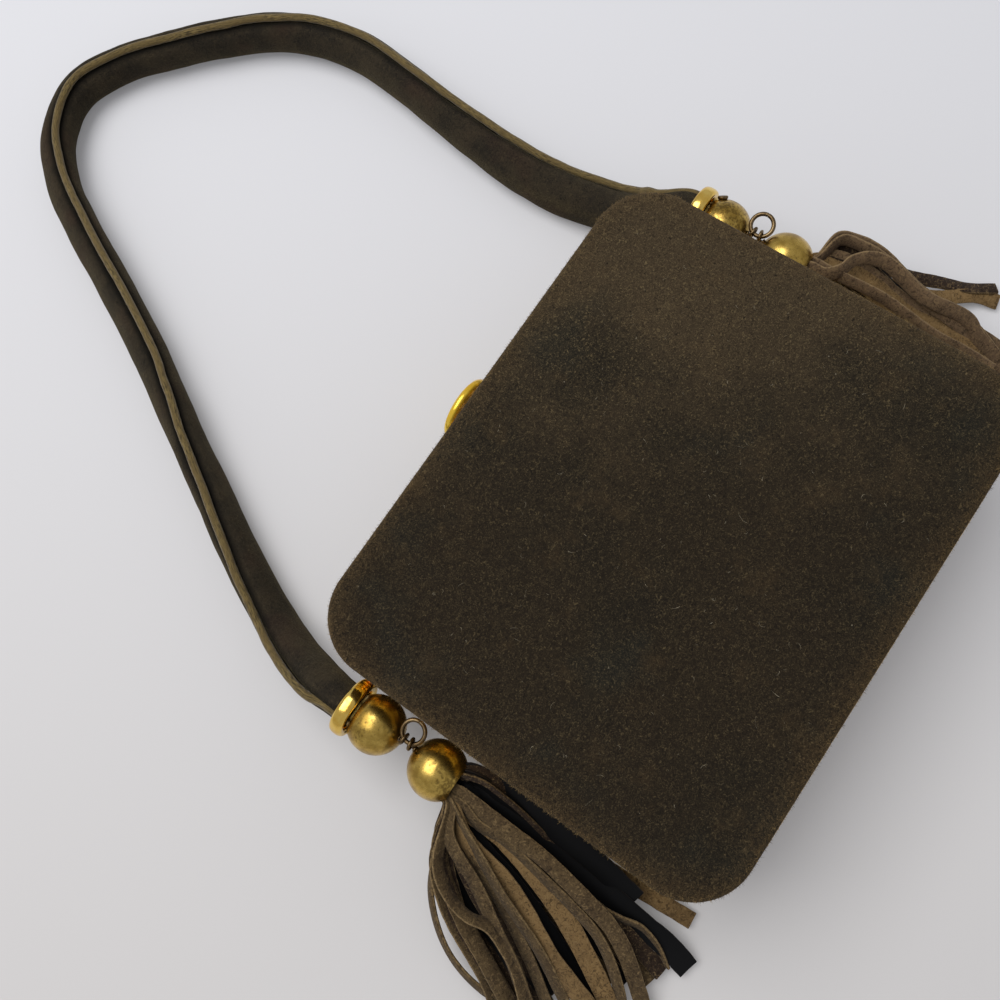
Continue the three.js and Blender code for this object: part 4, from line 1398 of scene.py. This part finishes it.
STRAP_ROUTE = [
    Station(-90.6, 43, 24, -50, 1),
    Station(-90.6, 50, 23.7, -50, 1),
    Station(-90.6, 58, 20.5, -44, 0.4),
    Station(-90, 66, 16, -38),
    Station(-88.5, 76, 10.8, -32),
    Station(-86, 85, None, -28),
    Station(-80, 99, None, -20),
    Station(-73, 114, None, -8),
    Station(-65, 129, None, -2),
    Station(-57, 145, None, 6),
    Station(-48.5, 161, None, 18),
    Station(-40, 177, None, 26),
    Station(-32, 194, None, 26),
    Station(-24, 212, None, 24),
    Station(-15.5, 231, None, 26),
    Station(-6, 249, None, 28),
    Station(8, 263, None, 22),
    Station(26, 268, None, 12),
    Station(43, 261, None, 14),
    Station(57, 248.5, None, 10),
    Station(70, 235, None, 8),
    Station(81.5, 220, None, 0),
    Station(89, 203, None, -12),
    Station(92, 184, None, -16),
    Station(90, 164, None, -18),
    Station(87, 145, None, -24),
    Station(84.3, 126, None, -34),
    Station(82.6, 108, None, -46),
    Station(83, 93, None, -55),
    Station(84.6, 81, 7.4, -60),
    Station(85.6, 70.5, 9.8, -60),
    Station(86.6, 62, 15, -57, 0.3),
    Station(88.8, 55.4, 20.4, -53, 0.8),
    Station(90.6, 50, 23.7, -50, 1),
    Station(90.6, 43, 24, -50, 1),
]


@dataclass
class Strap:
    """The padded velvet strap with a piped seam along its raised edge."""

    half_height: float = 7.2
    half_thick: float = 6.0
    end_radius: float = 6.0
    piping: float = 1.3
    floor_clear: float = 0.4
    first: float = 0.5
    rows: int = 760
    sides: int = 56
    crease: float = 1.0
    pucker: float = 0.28
    lump: float = 0.35

    def __post_init__(self) -> None:
        """Lays the route."""
        points = []
        for stop in STRAP_ROUTE:
            lean = math.radians(stop.lean)
            rest = math.hypot(self.half_height * math.cos(lean), self.half_thick * math.sin(lean))
            height = rest + self.floor_clear if stop.z is None else stop.z
            points.append(Vector((stop.x, stop.y, height)))
        self.route = Route(points)
        self.last = len(points) - 1

    def between(self, station: float, key: str) -> float:
        """A value of the stations, drawn smoothly through their neighbours."""
        total, weight_sum = 0.0, 0.0
        for number, stop in enumerate(STRAP_ROUTE):
            weight = math.exp(-(((number - station) / 0.6) ** 2))
            total += getattr(stop, key) * weight
            weight_sum += weight
        return total / weight_sum

    def axes(self, station: float) -> tuple[Vector, Vector, Vector, float, float]:
        """The strap's middle, the ways to its piped edge and its side, and its half sizes there."""
        middle, along = self.route.at(station), self.route.along(station)
        out = Vector((0, 0, 1)).cross(along).normalized()
        up = along.cross(out)
        lean = math.radians(self.between(station, "lean"))
        edge = up * math.cos(lean) - out * math.sin(lean)
        flat = out * math.cos(lean) + up * math.sin(lean)
        narrow = self.between(station, "narrow")
        return middle, edge, flat, mix(self.half_height, self.end_radius, narrow), mix(
            self.half_thick, self.end_radius, narrow
        )

    def tube(self) -> bpy.types.Object:
        """The velvet tube, creased at the seam, with puckers beside it and soft lumps in its padding."""
        sections, run, before = [], 0.0, None
        for row in range(self.rows + 1):
            station = mix(self.first, self.last - self.first, row / self.rows)
            middle, edge, flat, high, thick = self.axes(station)
            run += (middle - before).length if before else 0.0
            before = middle
            free = 1 - smooth(0.0, 1.0, self.between(station, "narrow"))
            ring = []
            for k in range(self.sides):
                angle = 2 * math.pi * (k / self.sides - 0.5)
                beside = abs(angle)
                crease = self.crease * math.exp(-((beside / 0.17) ** 2))
                reach = math.exp(-((beside / 0.75) ** 2))
                gather = noise.noise(Vector((run / 5.5, 3.0 if angle > 0 else 9.0, 0.4)))
                gather += 0.5 * noise.noise(Vector((run / 2.6, 5.0 if angle > 0 else 1.0, 0.9)))
                spot = Vector((run / 17, math.cos(angle), math.sin(angle)))
                lump = noise.noise(spot) * self.lump
                crush = noise.noise(Vector((run / 6, 2 * math.cos(angle), 2 * math.sin(angle)))) * 0.12
                swell = 0.35 * math.exp(-(((beside - 0.62) / 0.4) ** 2))
                offset = -crease + swell * free + (self.pucker * gather * reach + lump + crush) * free - 0.12
                ring.append(
                    (
                        middle
                        + edge * (high + offset) * math.cos(angle)
                        + flat * (thick + offset) * math.sin(angle)
                    )
                    * MM
                )
            sections.append(Section(ring, run * MM))
        tube = swept("strap_fine", sections)
        shade(tube, 70)
        return tube

    def cord(self) -> bpy.types.Object:
        """The piping in the seam, drawn down into the ring with the strap at each end."""
        sections, run, before = [], 0.0, None
        rows, sides = 900, 16
        for row in range(rows + 1):
            station = mix(self.first, self.last - self.first, row / rows)
            middle, edge, flat, high, _ = self.axes(station)
            narrow = smooth(0.3, 1.0, self.between(station, "narrow"))
            centre = middle + edge * mix(high + self.piping * 0.62, self.end_radius - self.piping * 0.7, narrow)
            run += (centre - before).length if before else 0.0
            before = centre
            sway = 0.18 * noise.noise(Vector((run / 9, 0.3, 7.1)))
            thick = self.piping * (1 + 0.07 * noise.noise(Vector((run / 3.4, 4.4, 1.2))))
            ring = []
            for k in range(sides):
                angle = 2 * math.pi * k / sides
                way = edge * math.cos(angle) + flat * math.sin(angle)
                ring.append((centre + flat * sway + way * thick) * MM)
            sections.append(Section(ring, run * MM))
        cord = swept("strap_piping_fine", sections)
        shade(cord, 70)
        return cord

    def build(self) -> None:
        """Builds and dresses the strap and its piping."""
        tube = finish_piece(self.tube(), "case", "velvet", SHELF.take("velvet", Velvet().paint), "strap")
        finish_piece(self.cord(), "case", "cording", SHELF.take("cording", Cording().paint), "strap_piping")


# The tassels


class Tone(Enum):
    """The colours that the strips come in, as the number that the material reads."""

    UMBER = 0.06
    TAUPE = 0.36
    ROSE = 0.56
    TAN = 0.72
    BLACK = 1.0


@dataclass(frozen=True)
class Strip:
    """One strip of a tassel, in millimetres.

    Attributes:
        points: Where its middle runs, from the socket to its cut end.
        width: How wide it is.
        tone: Its colour.
        roll: How far it is turned about its own length, at the ball, in the middle and at its end, in degrees.
        thick: How thick it is.
    """

    points: tuple[tuple[float, float, float], ...]
    width: float
    tone: Tone
    roll: tuple[float, float, float] = (30, 10, 0)
    thick: float = 0.9


STRIP_SECTION = (
    (-1, -0.5), (-0.88, -1), (0, -1), (0.88, -1), (1, -0.5), (1, 0.5), (0.88, 1), (0, 1), (-0.88, 1), (-1, 0.5),
)


@dataclass
class Tassel:
    """A bunch of suede strips: the ones that the photograph shows clearly, and darker ones underneath them."""

    side: Side
    strips: tuple[Strip, ...]
    under: tuple[tuple[tuple[float, float, float], ...], ...]
    under_count: int
    seed: int
    rows: int = 72
    ball_x: float = 90.6
    height: float = 24.0
    throat_y: float = 11.6
    throat_radius: float = 3.2
    lip_y: float = 8.0
    lip_radius: float = 4.9
    lowest: float = 0.75

    def route(self, strip: Strip) -> Route:
        """The strip's middle, from inside the ball's socket, over its lip and through the strip's own points."""
        first = Vector(strip.points[0])
        way = Vector((first.x - self.side.sign * self.ball_x, 0, first.z - self.height))
        far = max(way.length, 0.1)
        axis = Vector((self.side.sign * self.ball_x, 0, self.height))
        throat = axis + way * (min(far, self.throat_radius) / far) + Vector((0, self.throat_y, 0))
        lip = axis + way * (min(far, self.lip_radius) / far) + Vector((0, self.lip_y, 0))
        return Route([throat, lip, *(Vector(point) for point in strip.points)])

    def drawn(self, strip: Strip) -> list[Section]:
        """The sections of one strip.

        Args:
            strip: The strip.

        Returns:
            Ten-sided sections along it, thin, slightly cupped and square at their edges.
        """
        route = self.route(strip)
        sections, run, before = [], 0.0, None
        half, deep = strip.width / 2, strip.thick / 2
        wander = self.seed + strip.points[-1][0] + strip.width
        for row in range(self.rows + 1):
            share = row / self.rows
            middle, along = route.at(share * route.spans), route.along(share * route.spans)
            run += (middle - before).length if before else 0.0
            before = middle
            across = Vector((0, 0, 1)).cross(along)
            across = (across if across.length > 0.05 else Vector((1, 0, 0))).normalized()
            early, late = smooth(0.0, 0.4, share), smooth(0.4, 1.0, share)
            roll = mix(mix(strip.roll[0], strip.roll[1], early), strip.roll[2], late)
            roll += 9 * noise.noise(Vector((run / 17, wander, 8.8)))
            across = Matrix.Rotation(math.radians(roll), 3, along) @ across
            out = along.cross(across).normalized()
            fray = 1 + 0.06 * noise.noise(Vector((run / 2.2, wander, 0.5)))
            wide = half * fray * mix(0.6, 1.0, smooth(0.0, 0.16, share))
            cup = 0.5 * noise.noise(Vector((run / 14, wander, 3.5)))
            ring = [
                middle + across * (wide * x) + out * (deep * y + cup * x * x) for x, y in STRIP_SECTION
            ]
            lift = max(self.lowest - min(point.z for point in ring), 0.0)
            sections.append(Section([(point + Vector((0, 0, lift))) * MM for point in ring], run * MM))
        return sections

    def underneath(self, draw: random.Random) -> list[Strip]:
        """Strips between the two lowest guides, which fill the bunch from below."""
        made = []
        for number in range(self.under_count):
            fan = (number + draw.uniform(0.2, 0.8)) / self.under_count
            points = []
            for near, far in zip(*self.under):
                place = [mix(a, b, fan) + draw.uniform(-1.2, 1.2) for a, b in zip(near, far)]
                points.append((place[0], place[1], max(place[2], 1.0)))
            tone = draw.choice((Tone.UMBER, Tone.UMBER, Tone.BLACK, Tone.TAUPE))
            roll = (draw.uniform(-50, 50), draw.uniform(-35, 35), draw.uniform(-20, 20))
            made.append(Strip(tuple(points), draw.uniform(4.4, 6.0), tone, roll))
        return made

    def build(self) -> None:
        """Builds and dresses the tassel as one piece of separate closed strips."""
        draw = random.Random(self.seed)
        parts = []
        for number, strip in enumerate([*self.strips, *self.underneath(draw)]):
            part = swept(f"strip_{number}", self.drawn(strip))
            tone = part.data.attributes.new("tone", "FLOAT", "POINT")
            edge = part.data.attributes.new("edge", "FLOAT", "POINT")
            shift = 0.0 if strip.tone is Tone.BLACK else draw.uniform(-0.07, 0.07)
            sides = len(STRIP_SECTION)
            for index in range(len(part.data.vertices)):
                tone.data[index].value = strip.tone.value + shift
                edge.data[index].value = 1.0 if abs(STRIP_SECTION[index % sides][0]) == 1 else 0.0
            parts.append(part)
        choose(*parts)
        bpy.ops.object.join()
        tassel = bpy.context.object
        tassel.name = f"tassel_{self.side.label}_fine"
        shade(tassel, 50)
        material = SHELF.take("suede_strips", Strips().paint)
        body = f"{self.side.label}_tassel"
        finish_piece(tassel, body, "suede_strips", material, f"tassel_{self.side.label}")


LEFT_TASSEL = Tassel(
    side=Side.LEFT,
    strips=(
        Strip(((-86.5, 9.5, 25.5), (-84.6, 5.4, 26), (-83.6, 1, 25), (-84.4, -4.5, 21), (-86.4, -12, 16), (-89, -22, 11),
            (-93, -36, 6), (-99, -52, 2)), 4.4, Tone.UMBER, (10, -20, 0)),
        Strip(((-86.8, 7.5, 27.4), (-85.4, 3, 27.6), (-85.6, -3, 25.4), (-87, -12, 21), (-89.6, -24, 15),
            (-94, -38, 8), (-100, -55, 2.5)), 1.6, Tone.UMBER, (60, 40, 20)),
        Strip(((-91.9, 6, 26), (-92.2, -8.6, 25.3), (-93, -23.5, 22.9), (-95.7, -38.6, 18.7), (-97.3, -45.1, 15.9),
            (-100.6, -52, 12.7), (-110.1, -64.3, 5), (-119.3, -74.9, 1.7)), 4.6, Tone.TAUPE, (25, 14, 6)),
        Strip(((-94.4, 4.3, 25), (-96, -1.9, 24.1), (-95.5, -8.2, 22.9), (-96.9, -21.2, 19.9), (-99.9, -37.5, 15.9),
            (-101.9, -44.4, 13.5), (-105.3, -50.5, 10.9), (-110.1, -56.5, 8.1), (-114.3, -60.4, 5), (-125.6, -70.9,
            1.9)), 4.2, Tone.TAUPE, (50, 52, 40)),
        Strip(((-94.9, 4.2, 24), (-94.7, -4.6, 22.6), (-95.7, -11.8, 20.9), (-102.2, -32.4, 14.9), (-113.9, -54.1,
            7), (-117.6, -58.8, 4), (-126.8, -70.5, 1.9)), 5.6, Tone.TAN, (40, 12, 0)),
        Strip(((-101.2, -1.7, 23.9), (-104.1, -15.3, 20.7), (-106.6, -22.4, 18.6), (-114, -37, 13.7), (-119.4,
            -52.6, 7.5), (-121.8, -59.2, 4), (-125, -67.9, 1.5)), 5.6, Tone.TAN, (45, 16, 4)),
        Strip(((-102.5, 3.4, 25.2), (-109.1, -9.4, 22.2), (-117.2, -23, 17.2), (-121.4, -29.3, 14), (-131, -41.2,
            6), (-141.8, -53.7, 1.6)), 4.4, Tone.TAUPE, (35, 30, 25)),
        Strip(((-99.5, -0.8, 25.2), (-105.1, -12.4, 22.6), (-110.8, -25.4, 18.3), (-113.7, -32, 15.6), (-125.1, -52,
            5), (-132.8, -66.3, 1.1)), 4.2, Tone.TAUPE, (60, 55, 45)),
        Strip(((-110.3, 1.7, 25), (-115.2, -4.9, 23.8), (-117.1, -12.7, 22), (-116.4, -19, 19.8), (-118.3, -24.7,
            17.1), (-121.9, -31.1, 13.9), (-127.5, -37.1, 10.2), (-132.6, -41.4, 6), (-142.3, -49.6, 1.2)), 4,
            Tone.TAUPE, (-55, -50, -40)),
        Strip(((-110.6, 2.5, 20.6), (-115.7, -3.5, 18.5), (-120.2, -10.5, 16), (-130.2, -31, 6.7), (-134.4, -37.9,
            3), (-141.3, -49.3, 1.6)), 4.8, Tone.UMBER, (-40, -20, -10)),
        Strip(((-110.2, 4, 17.4), (-118.7, 0.7, 13), (-124.2, -3.8, 11), (-129.1, -10.3, 9), (-132.8, -18.6, 7.2),
            (-134.2, -27.3, 5.4), (-133.7, -33.6, 3.6), (-135.3, -49.8, 1.2)), 3.6, Tone.TAUPE, (60, 62, 50)),
        Strip(((-108.7, 1.9, 18.1), (-115.6, -4.4, 15.1), (-121.7, -12.1, 12), (-134.2, -34.7, 2), (-139.5, -44.6,
            1.9)), 5.2, Tone.UMBER, (0, 8, 5)),
        Strip(((-106, -1.7, 18.7), (-128.2, -45.3, 2), (-135.1, -58.7, 1.2)), 5.4, Tone.UMBER, (10, 20, 0)),
        Strip(((-103.5, -2, 22.1), (-110, -18, 17.4), (-118, -32.4, 11.3), (-127.2, -44.7, 4), (-137, -56.5, 1.1)),
            4.2, Tone.TAUPE, (45, 42, 25)),
        Strip(((-100.6, -2.8, 18.7), (-105.6, -20.1, 12.4), (-118.5, -52.2, 2), (-123.7, -65.1, 1.1)), 6,
            Tone.BLACK, (20, 10, 0)),
        Strip(((-94.3, 3.9, 23), (-98.1, -34.3, 13), (-101.7, -50.7, 7.8), (-105.4, -63.6, 2.5)), 4.6, Tone.TAUPE,
            (30, 20, 0)),
        Strip(((-93.6, 3.5, 22), (-97.2, -44.9, 10.7), (-98.1, -53.1, 8), (-101.1, -65, 3)), 4.8, Tone.UMBER, (20,
            10, -10)),
        Strip(((-93.3, 3.8, 22), (-95.1, -25.9, 17.8), (-95.6, -38.4, 15.3), (-94.7, -47.1, 12.6), (-93.8, -53,
            9.7), (-95.6, -59.5, 6.4), (-98.8, -64.9, 3)), 4.2, Tone.TAUPE, (40, 60, 70)),
        Strip(((-111.9, 2, 21.9), (-117.5, -3.4, 19.4), (-122.3, -10, 16.4), (-130.1, -25.4, 8.7), (-135.6, -32.1,
            4), (-141.3, -39.1, 1.9)), 3.8, Tone.TAUPE, (-60, -58, -45)),
        Strip(((-107.8, 3.9, 21.1), (-118.4, -9.1, 16.4), (-127.3, -26.2, 10.3), (-135.7, -39.8, 3), (-141.7, -48.6,
            1.2)), 4.6, Tone.TAUPE, (-30, -35, -20)),
        Strip(((-84.8, 3.1, 23.9), (-84.8, -2.1, 22.5), (-84.8, -17.7, 19), (-86.5, -36, 14.5), (-88.8, -48.1, 9)),
            6.6, Tone.BLACK, (45, 18, 8)),
        Strip(((-88.5, -0.5, 21.2), (-89.6, -18.3, 17.3), (-93.2, -55.5, 7.8), (-94.2, -63.7, 5.1), (-95.9, -70.4,
            2.2)), 6.6, Tone.BLACK, (20, 6, 0)),
        Strip(((-91.6, 5.9, 22), (-91.5, -2.4, 19.3), (-93.7, -20.8, 14.3), (-95.2, -46.5, 7.8), (-93.9, -58.9, 4)),
            6.2, Tone.BLACK, (10, 2, 0)),
        Strip(((-85, 4.7, 25.1), (-84.8, 1.4, 23.1), (-84.8, -1.7, 21.1), (-84.8, -4.2, 19), (-87.3, -9.9, 16.8),
            (-90.7, -34.9, 10)), 4.6, Tone.BLACK, (75, 70, 30)),
        Strip(((-87.7, -0.1, 15.4), (-86.9, -34.2, 6.8), (-84.8, -64.7, 1.7)), 4.8, Tone.TAN, (10, 4, 0)),
        Strip(((-84.8, 3.5, 19), (-84.8, -6.4, 14)), 3.6, Tone.TAUPE, (60, 50, 20)),
    ),
    under=(
        ((-92, 1, 19), (-94, -13, 14), (-96, -28, 9), (-99, -45, 5), (-104, -62, 2)),
        ((-104, 5.5, 18), (-113, 1, 12), (-120, -8.5, 8), (-125, -21, 5), (-130.5, -37, 2.5)),
    ),
    under_count=18,
    seed=11,
)

RIGHT_TASSEL = Tassel(
    side=Side.RIGHT,
    strips=(
        Strip(((104.4, 6.1, 26.1), (106.6, 0.1, 25.7), (107.2, -5.8, 24.7), (104.9, -20.4, 20.7), (104.8, -27.6,
            17.7), (108.9, -52.6, 5), (111.5, -69.3, 1.9)), 5, Tone.ROSE, (62, 60, 30)),
        Strip(((103.7, 5.1, 23.4), (104.6, -0, 22), (102.1, -19.3, 15), (102.8, -27.4, 11.8), (107.7, -49.9, 4)),
            4.6, Tone.UMBER, (60, 55, 20)),
        Strip(((91.5, 4, 27.2), (94.9, 0.2, 27.8), (99.6, -1.5, 27.8), (103.5, -6.1, 27.2), (104.6, -11, 25.9),
            (103.4, -23.2, 21.4), (107.5, -38, 14.5), (106.3, -44, 10), (105.7, -52.9, 5)), 4.4, Tone.ROSE, (58, 60,
            45)),
        Strip(((96.3, 3.7, 23.1), (98.7, -2.9, 21.6), (99.2, -10.7, 19.3), (98.5, -19.7, 16.5), (100.1, -31.5, 13),
            (103.3, -42.4, 8.8), (105.2, -52, 4)), 7, Tone.TAN, (30, 6, 0)),
        Strip(((104.3, 3.8, 16.4), (110.8, -6, 11.7), (114.1, -16, 8), (118.9, -25, 5.2), (123, -34.2, 3.4), (127.8,
            -41.3, 2.6)), 4.4, Tone.UMBER, (30, 10, -20)),
        Strip(((102.6, -0.5, 15.3), (112, -25.3, 7), (122.5, -37.8, 2.7), (124.2, -44, 2)), 4.6, Tone.TAN, (20, 6,
            15)),
        Strip(((94, 2.9, 25.9), (96, -14.4, 23.2), (96.6, -32.1, 17.2), (98.8, -42.6, 13), (100.5, -52.3, 8)), 3.6,
            Tone.ROSE, (60, 62, 50)),
        Strip(((99.4, 5.5, 22.9), (102, -2.5, 21.4), (101.7, -25.7, 14.2), (105.2, -56.2, 3), (106.6, -67.4, 2)),
            4.8, Tone.ROSE, (40, 35, 10)),
        Strip(((100.8, 4, 19.6), (103.1, -5.9, 17.1), (103.5, -25.6, 11.6), (107.6, -46.5, 5.3), (108.3, -54.9, 2),
            (109.4, -68.2, 1.7)), 6, Tone.UMBER, (10, 5, 0)),
        Strip(((105, 0.2, 18.9), (104.1, -17, 13.5), (104.9, -26.7, 10.3), (107.8, -36.8, 6.8), (109.5, -47.8, 3)),
            5, Tone.BLACK, (20, 20, 10)),
        Strip(((104, 4.9, 27.1), (105.6, -2.1, 26.4), (105.7, -9.8, 25), (104.2, -18, 22.8), (104.6, -25.3, 19.8),
            (106.6, -32.8, 16), (107.4, -41.4, 11.4), (106.1, -51.5, 6)), 4, Tone.ROSE, (75, 70, 50)),
    ),
    under=(
        ((90, 2, 21), (88.5, -20, 12), (90, -44, 4), (94, -66, 1.6)),
        ((99.5, 5, 22), (103.5, -8, 17), (104, -26, 9), (106, -52, 2)),
    ),
    under_count=12,
    seed=23,
)


# The table, the light and the camera


@dataclass
class Studio:
    """The pale table, the soft light and the camera."""

    camera_at: tuple = (-55.70, -21.98, 308.49)
    right: tuple = (0.5691, -0.8138, -0.1174)
    down: tuple = (-0.812, -0.5338, -0.236)
    forward: tuple = (0.1294, 0.2296, -0.9646)
    lens: float = 36.0
    # table_light and table_dark: the table under painted light on the far side and painted shade on the near side.
    table_light: tuple = srgb(219, 219, 222)
    table_dark: tuple = srgb(206, 203, 201)
    glow: float = 0.18
    key_power: float = 9.2
    world_level: float = 0.5

    def camera(self) -> None:
        """Sets the camera where the photograph was taken from."""
        data = bpy.data.cameras.new("camera")
        data.sensor_width = 36.0
        data.lens = self.lens
        data.clip_start, data.clip_end = 0.01, 20.0
        camera = bpy.data.objects.new("camera", data)
        bpy.context.scene.collection.objects.link(camera)
        right, down, forward = (Vector(way).normalized() for way in (self.right, self.down, self.forward))
        turn = Matrix((right, -down, -forward)).transposed()
        camera.matrix_world = Matrix.Translation(Vector(self.camera_at) * MM) @ turn.to_4x4()
        bpy.context.scene.camera = camera

    def table(self) -> None:
        """Lays the pale table, with painted light falloff that makes it a little darker towards the near side."""
        start_clean()
        bpy.ops.mesh.primitive_plane_add(size=6, location=(0, 0, 0))
        table = bpy.context.object
        table.name = "table"
        paint = Paint("table", Roughness=0.7, Specular_IOR_Level=0.2)
        x, y = (paint.node("ShaderNodeSeparateXYZ", {}, {0: paint.place()}, output=axis) for axis in (0, 1))
        # Painted light falloff: the table blends from table_dark on the near side to table_light on the far side.
        painted_falloff = paint.blend((x * 0.83 + y * 0.55).step(-0.22, 0.28), self.table_dark, self.table_light)
        paint.feed(Base_Color=painted_falloff)
        seen = [
            paint.node("ShaderNodeLightPath", output=ray)
            for ray in ("Is Camera Ray", "Is Glossy Ray", "Is Transmission Ray")
        ]
        lamp = paint.node("ShaderNodeEmission", {}, {"Color": painted_falloff})
        share = (seen[0] + seen[1] + seen[2]).math("MINIMUM", 1.0) * self.glow
        inputs = {0: share, 1: Signal(paint, paint.shader.outputs[0]), 2: lamp}
        surface = paint.node("ShaderNodeMixShader", {}, inputs)
        paint.tree.links.new(surface.socket, paint.tree.nodes["Material Output"].inputs["Surface"])
        dress(table, paint.material)

    def lamp(self, name: str, place: Vector, aim: Vector, size: tuple[float, float], power: float) -> None:
        """Adds one soft rectangular lamp."""
        data = bpy.data.lights.new(name, "AREA")
        data.shape = "RECTANGLE"
        data.size, data.size_y = size
        data.energy = power
        lamp = bpy.data.objects.new(name, data)
        lamp.location = place
        lamp.rotation_euler = (aim - place).to_track_quat("-Z", "Y").to_euler()
        bpy.context.scene.collection.objects.link(lamp)

    def light(self) -> None:
        """Sets a broad window of light overhead, and an even room around it."""
        self.lamp("window", Vector((-0.08, 0.48, 1.02)), Vector((0, 0.04, 0)), (1.0, 0.8), self.key_power)
        world = bpy.data.worlds.new("room")
        world.use_nodes = True
        backdrop = world.node_tree.nodes["Background"]
        backdrop.inputs["Color"].default_value = (0.94, 0.95, 1.0, 1.0)
        backdrop.inputs["Strength"].default_value = self.world_level
        bpy.context.scene.world = world

    def build(self) -> None:
        """Sets up the whole studio."""
        self.camera()
        self.table()
        self.light()
        bpy.context.scene.view_settings.view_transform = "Standard"


def main() -> None:
    """Builds the studio and every piece, in order."""
    logging.basicConfig(level=logging.INFO)
    Studio().build()
    case = Case()
    case.build()
    Nap(case).build()
    Hinge().build()
    Clasp().build()
    for side in Side:
        Chain(side).build()
    Strap().build()
    LEFT_TASSEL.build()
    RIGHT_TASSEL.build()


if __name__ == "__main__":
    main()
